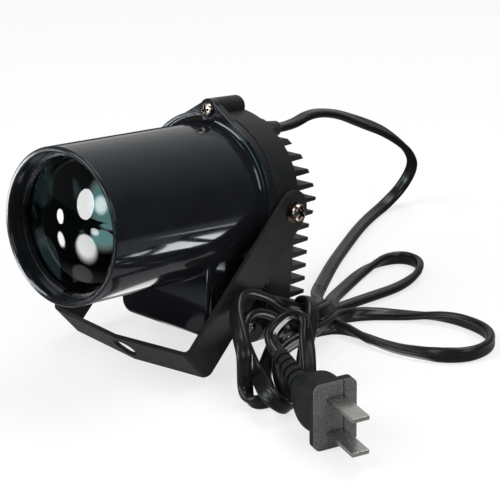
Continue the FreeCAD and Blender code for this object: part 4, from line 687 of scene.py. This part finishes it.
def flat_cord(name, rings):
    """A closed mesh tube through rings."""
    count, around = rings.shape[:2]
    faces = []
    for a in range(0, (count - 1) * around, around):
        b = a + around
        for j in range(around):
            k = (j + 1) % around
            faces.append((a + j, a + k, b + k, b + j))
    faces.append(tuple(range(around - 1, -1, -1)))
    faces.append(tuple(range((count - 1) * around, count * around)))
    thing = add_mesh(name, rings.reshape(-1, 3), faces, FINISHES["cord_pvc"])
    return thing


entry = tuple(ENTRY_TIP)
hank_route = FIRST_SIDE_LOOP + SMALL_LOOP + SECOND_SIDE_LOOP + LARGE_LOOP + WRAP + TAIL
lead_route = [entry, tuple(ENTRY_TIP + ENTRY_AXIS * FIRST_RUN)] + LEAD_ROUTE + hank_route[:1]
lead_line, lead_length = centreline(lead_route)
hank_line, hank_length = centreline(hank_route)
whole = np.concatenate([lead_line[:-1], hank_line])
split = len(lead_line) - 1
tangent, wide = wide_directions(whole)
rings, path = cord_rings(whole, wide, tangent)
cord_lead = flat_cord("cord_lead_flat", rings[:split + 1])
cord_hank = flat_cord("cord_hank_flat", rings[split:])
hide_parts("cord_lead")
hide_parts("cord_hank")
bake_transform(cord_lead)
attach(cord_hank, "yoke")


# Surface and light

WHITE = (1, 1, 1)
TEAL = (0.42, 0.90, 0.90)

FLOOR_REACH = 3.0
FLOOR_COLOUR = (0.82, 0.82, 0.82)
FLOOR_ROUGHNESS = 0.9
FLOOR_WHITE_SHARE = 0.72
FLOOR_DARK = 0.02
GLEAM_FADE = 0.35
GLINT_WHITENESS = 0.6

# What the object's gloss finds on the surface: soft ellipses that stand for the studio's
# boards and boxes, each turned by degrees, with its half length and half width.
Gleam = namedtuple("Gleam", "centre turn long wide strength")
GLEAMS = {
    "board": Gleam((0.03, 0.02), 0, 0.20, 0.18, 0.35),
    "near": Gleam((0.003, -0.007), 45, 0.022, 0.010, 2.2),
    "streak": Gleam((0.076, 0.024), 77, 0.050, 0.017, 8.0),
    "rim": Gleam((0.113, 0.086), -41.7, 0.040, 0.004, 4.5),
    "low_box": Gleam((-0.110, -0.262), 61.6, 0.135, 0.038, 14.0),
    "low_strip": Gleam((-0.163, -0.187), 38.7, 0.060, 0.014, 14.0),
    "tinted": Gleam((-0.12, -0.50), 74, 0.30, 0.075, 5.0),
    "glint": Gleam((-0.194, -0.542), 67, 0.17, 0.032, 11.0),
    "faint": Gleam((-0.047, -0.118), 55, 0.026, 0.019, 0.7),
    "far": Gleam((-0.42, -1.90), 77.5, 1.25, 0.17, 4.5),
}

WORLD_GREY = 0.45
BACKDROP_LEVEL = 0.29
BACKDROP_TO_LEFT = 0.50
BACKDROP_UPWARD = 0.12
BACKDROP_IN_FRONT = 0.10
WORLD_DARK = 0.02

# A soft-edged disc of the world: its direction, the cosines of its outer and inner edge from
# that direction, and its strength
Disc = namedtuple("Disc", "way outer inner strength")
SCREEN = Disc((-0.24, -0.95, 0.16), 0.950, 0.985, 4.0)
CORE = Disc((-0.341, -0.932, 0.125), 0.9945, 0.9993, 13.0)
CORE_WHITENESS = 0.7

# Power in watts
Lamp = namedtuple("Lamp", "place target width height power shape")
LAMPS = {
    "key": Lamp((-0.5, -0.9, 1.1), (0, 0, 0.04), 0.7, 0.7, 11, "RECTANGLE"),
    "fill": Lamp((1.1, -0.2, 0.7), (0, 0, 0.04), 0.6, 0.6, 5, "RECTANGLE"),
    "top": Lamp((0.1, 0.5, 1.3), (0, 0.03, 0.05), 0.8, 0.5, 8, "RECTANGLE"),
    "front_box": Lamp((-0.299, -0.566, 0.120), (0.009, -0.055, 0.070), 0.14, 0.17, 0.95,
                      "ELLIPSE"),
    "front_strip": Lamp((-0.287, -0.292, 0.023), (-0.003, -0.056, 0.065), 0.04, 0.046, 0.08,
                        "ELLIPSE"),
}


class Stage(Tree):
    """The node tree of the floor or the world, which look different to each kind of ray."""

    def __init__(self, tree):
        super().__init__(tree)
        path = self.add("LightPath").outputs
        self.seen = path["Is Camera Ray"]
        self.gloss = path["Is Glossy Ray"]
        self.through = path["Is Transmission Ray"]

    def patch(self, where, gleam):
        """1 inside a soft-edged ellipse of the surface, 0 outside it."""
        node = self.add("Mapping", vector_type="TEXTURE")
        self.feed_all(node, {"Vector": where, "Location": (*gleam.centre, 0),
                             "Rotation": (0, 0, math.radians(gleam.turn)),
                             "Scale": (gleam.long, gleam.wide, 1)})
        ball = self.add("TexGradient", gradient_type="SPHERICAL")
        self.feed(ball.inputs["Vector"], node.outputs["Vector"])
        return self.span(ball.outputs["Fac"], start=0.0, end=GLEAM_FADE, shape="SMOOTHSTEP")

    def disc(self, way, disc):
        """1 inside a soft-edged disc of the world, 0 outside it."""
        near = self.along(way, Vector(disc.way).normalized())
        return self.span(near, start=disc.outer, end=disc.inner, shape="SMOOTHSTEP")

    def teal_in_gloss(self, tinted, white, whiteness):
        """Teal to glossy rays in the tinted part, less so in its white part, and white else."""
        share = self.math("MULTIPLY_ADD", white, -whiteness, tinted)
        return self.mix(self.math("MULTIPLY", share, self.gloss), WHITE, TEAL)


def floor_material():
    """A white floor that keeps the object's shadow. Glossy rays find the gleams on it."""
    material = bpy.data.materials.new("floor_white")
    material.use_nodes = True
    n = Stage(material.node_tree)
    shader = n.tree.nodes["Principled BSDF"]
    n.feed_all(shader, {"Base Color": opaque(FLOOR_COLOUR), "Roughness": FLOOR_ROUGHNESS})
    where = n.add("NewGeometry").outputs["Position"]
    masks = {name: n.patch(where, gleam) for name, gleam in GLEAMS.items()}
    mirrored = FLOOR_DARK
    for name, gleam in GLEAMS.items():
        mirrored = n.math("MULTIPLY_ADD", masks[name], gleam.strength, mirrored)
    direct = n.math("MAXIMUM", n.seen, n.through)
    tinted = n.math("MAXIMUM", masks["tinted"], masks["far"])
    glow = n.add("Emission")
    n.feed_all(glow, {
        "Color": n.teal_in_gloss(tinted, masks["glint"], GLINT_WHITENESS),
        "Strength": n.math("ADD", direct, n.math("MULTIPLY", n.gloss, mirrored))})
    mixer = n.add("MixShader")
    white_share = n.math("MULTIPLY", direct, FLOOR_WHITE_SHARE)
    n.feed(mixer.inputs[0], n.math("MAXIMUM", white_share, n.gloss))
    n.feed(mixer.inputs[1], shader.outputs[0])
    n.feed(mixer.inputs[2], glow.outputs[0])
    n.feed(n.tree.nodes["Material Output"].inputs["Surface"], mixer.outputs[0])
    return material


def stage_floor():
    reach = FLOOR_REACH
    corners = [(-reach, -reach, 0), (reach, -reach, 0), (reach, reach, 0), (-reach, reach, 0)]
    add_mesh("floor", corners, [(0, 1, 2, 3)], floor_material())


def studio_world():
    """White to the camera and grey to the object's plain surfaces. Its gloss finds a soft
    gradient behind it, brighter towards the left, and a teal screen with a white core."""
    world = bpy.data.worlds.new("studio")
    scene.world = world
    world.use_nodes = True
    n = Stage(world.node_tree)
    way = n.add("TexCoord").outputs["Generated"]
    parts = n.add("SeparateXYZ")
    n.feed(parts.inputs[0], way)
    screen, core = n.disc(way, SCREEN), n.disc(way, CORE)
    level = n.math("MULTIPLY_ADD", parts.outputs["Z"], BACKDROP_UPWARD, BACKDROP_LEVEL)
    level = n.math("MULTIPLY_ADD", parts.outputs["X"], -BACKDROP_TO_LEFT, level)
    behind = n.span(parts.outputs["Y"], BACKDROP_IN_FRONT, 1.0, start=-0.1, end=0.5,
                    shape="SMOOTHSTEP")
    backdrop = n.math("MULTIPLY", n.math("MAXIMUM", level, 0.0), behind)
    backdrop = n.math("ADD", backdrop, WORLD_DARK)
    for mask, disc in ((screen, SCREEN), (core, CORE)):
        backdrop = n.math("MULTIPLY_ADD", mask, disc.strength, backdrop)
    in_gloss = n.math("MULTIPLY", n.gloss, backdrop)
    elsewhere = n.math("MULTIPLY", n.math("SUBTRACT", 1.0, n.gloss), WORLD_GREY)
    strength = n.math("MAXIMUM", n.math("ADD", in_gloss, elsewhere), n.seen)
    n.feed_all(n.tree.nodes["Background"], {
        "Color": n.teal_in_gloss(screen, core, CORE_WHITENESS), "Strength": strength})


def area_light(name, lamp):
    data = bpy.data.lights.new(name, "AREA")
    data.shape = lamp.shape
    data.size = lamp.width
    data.size_y = lamp.height
    data.energy = lamp.power
    light = bpy.data.objects.new(name, data)
    scene.collection.objects.link(light)
    way = Vector(lamp.target) - Vector(lamp.place)
    light.location = lamp.place
    light.rotation_mode = "QUATERNION"
    light.rotation_quaternion = way.to_track_quat("-Z", "Y")


stage_floor()
studio_world()
for name, lamp in LAMPS.items():
    area_light(name, lamp)
scene.view_settings.view_transform = "Standard"
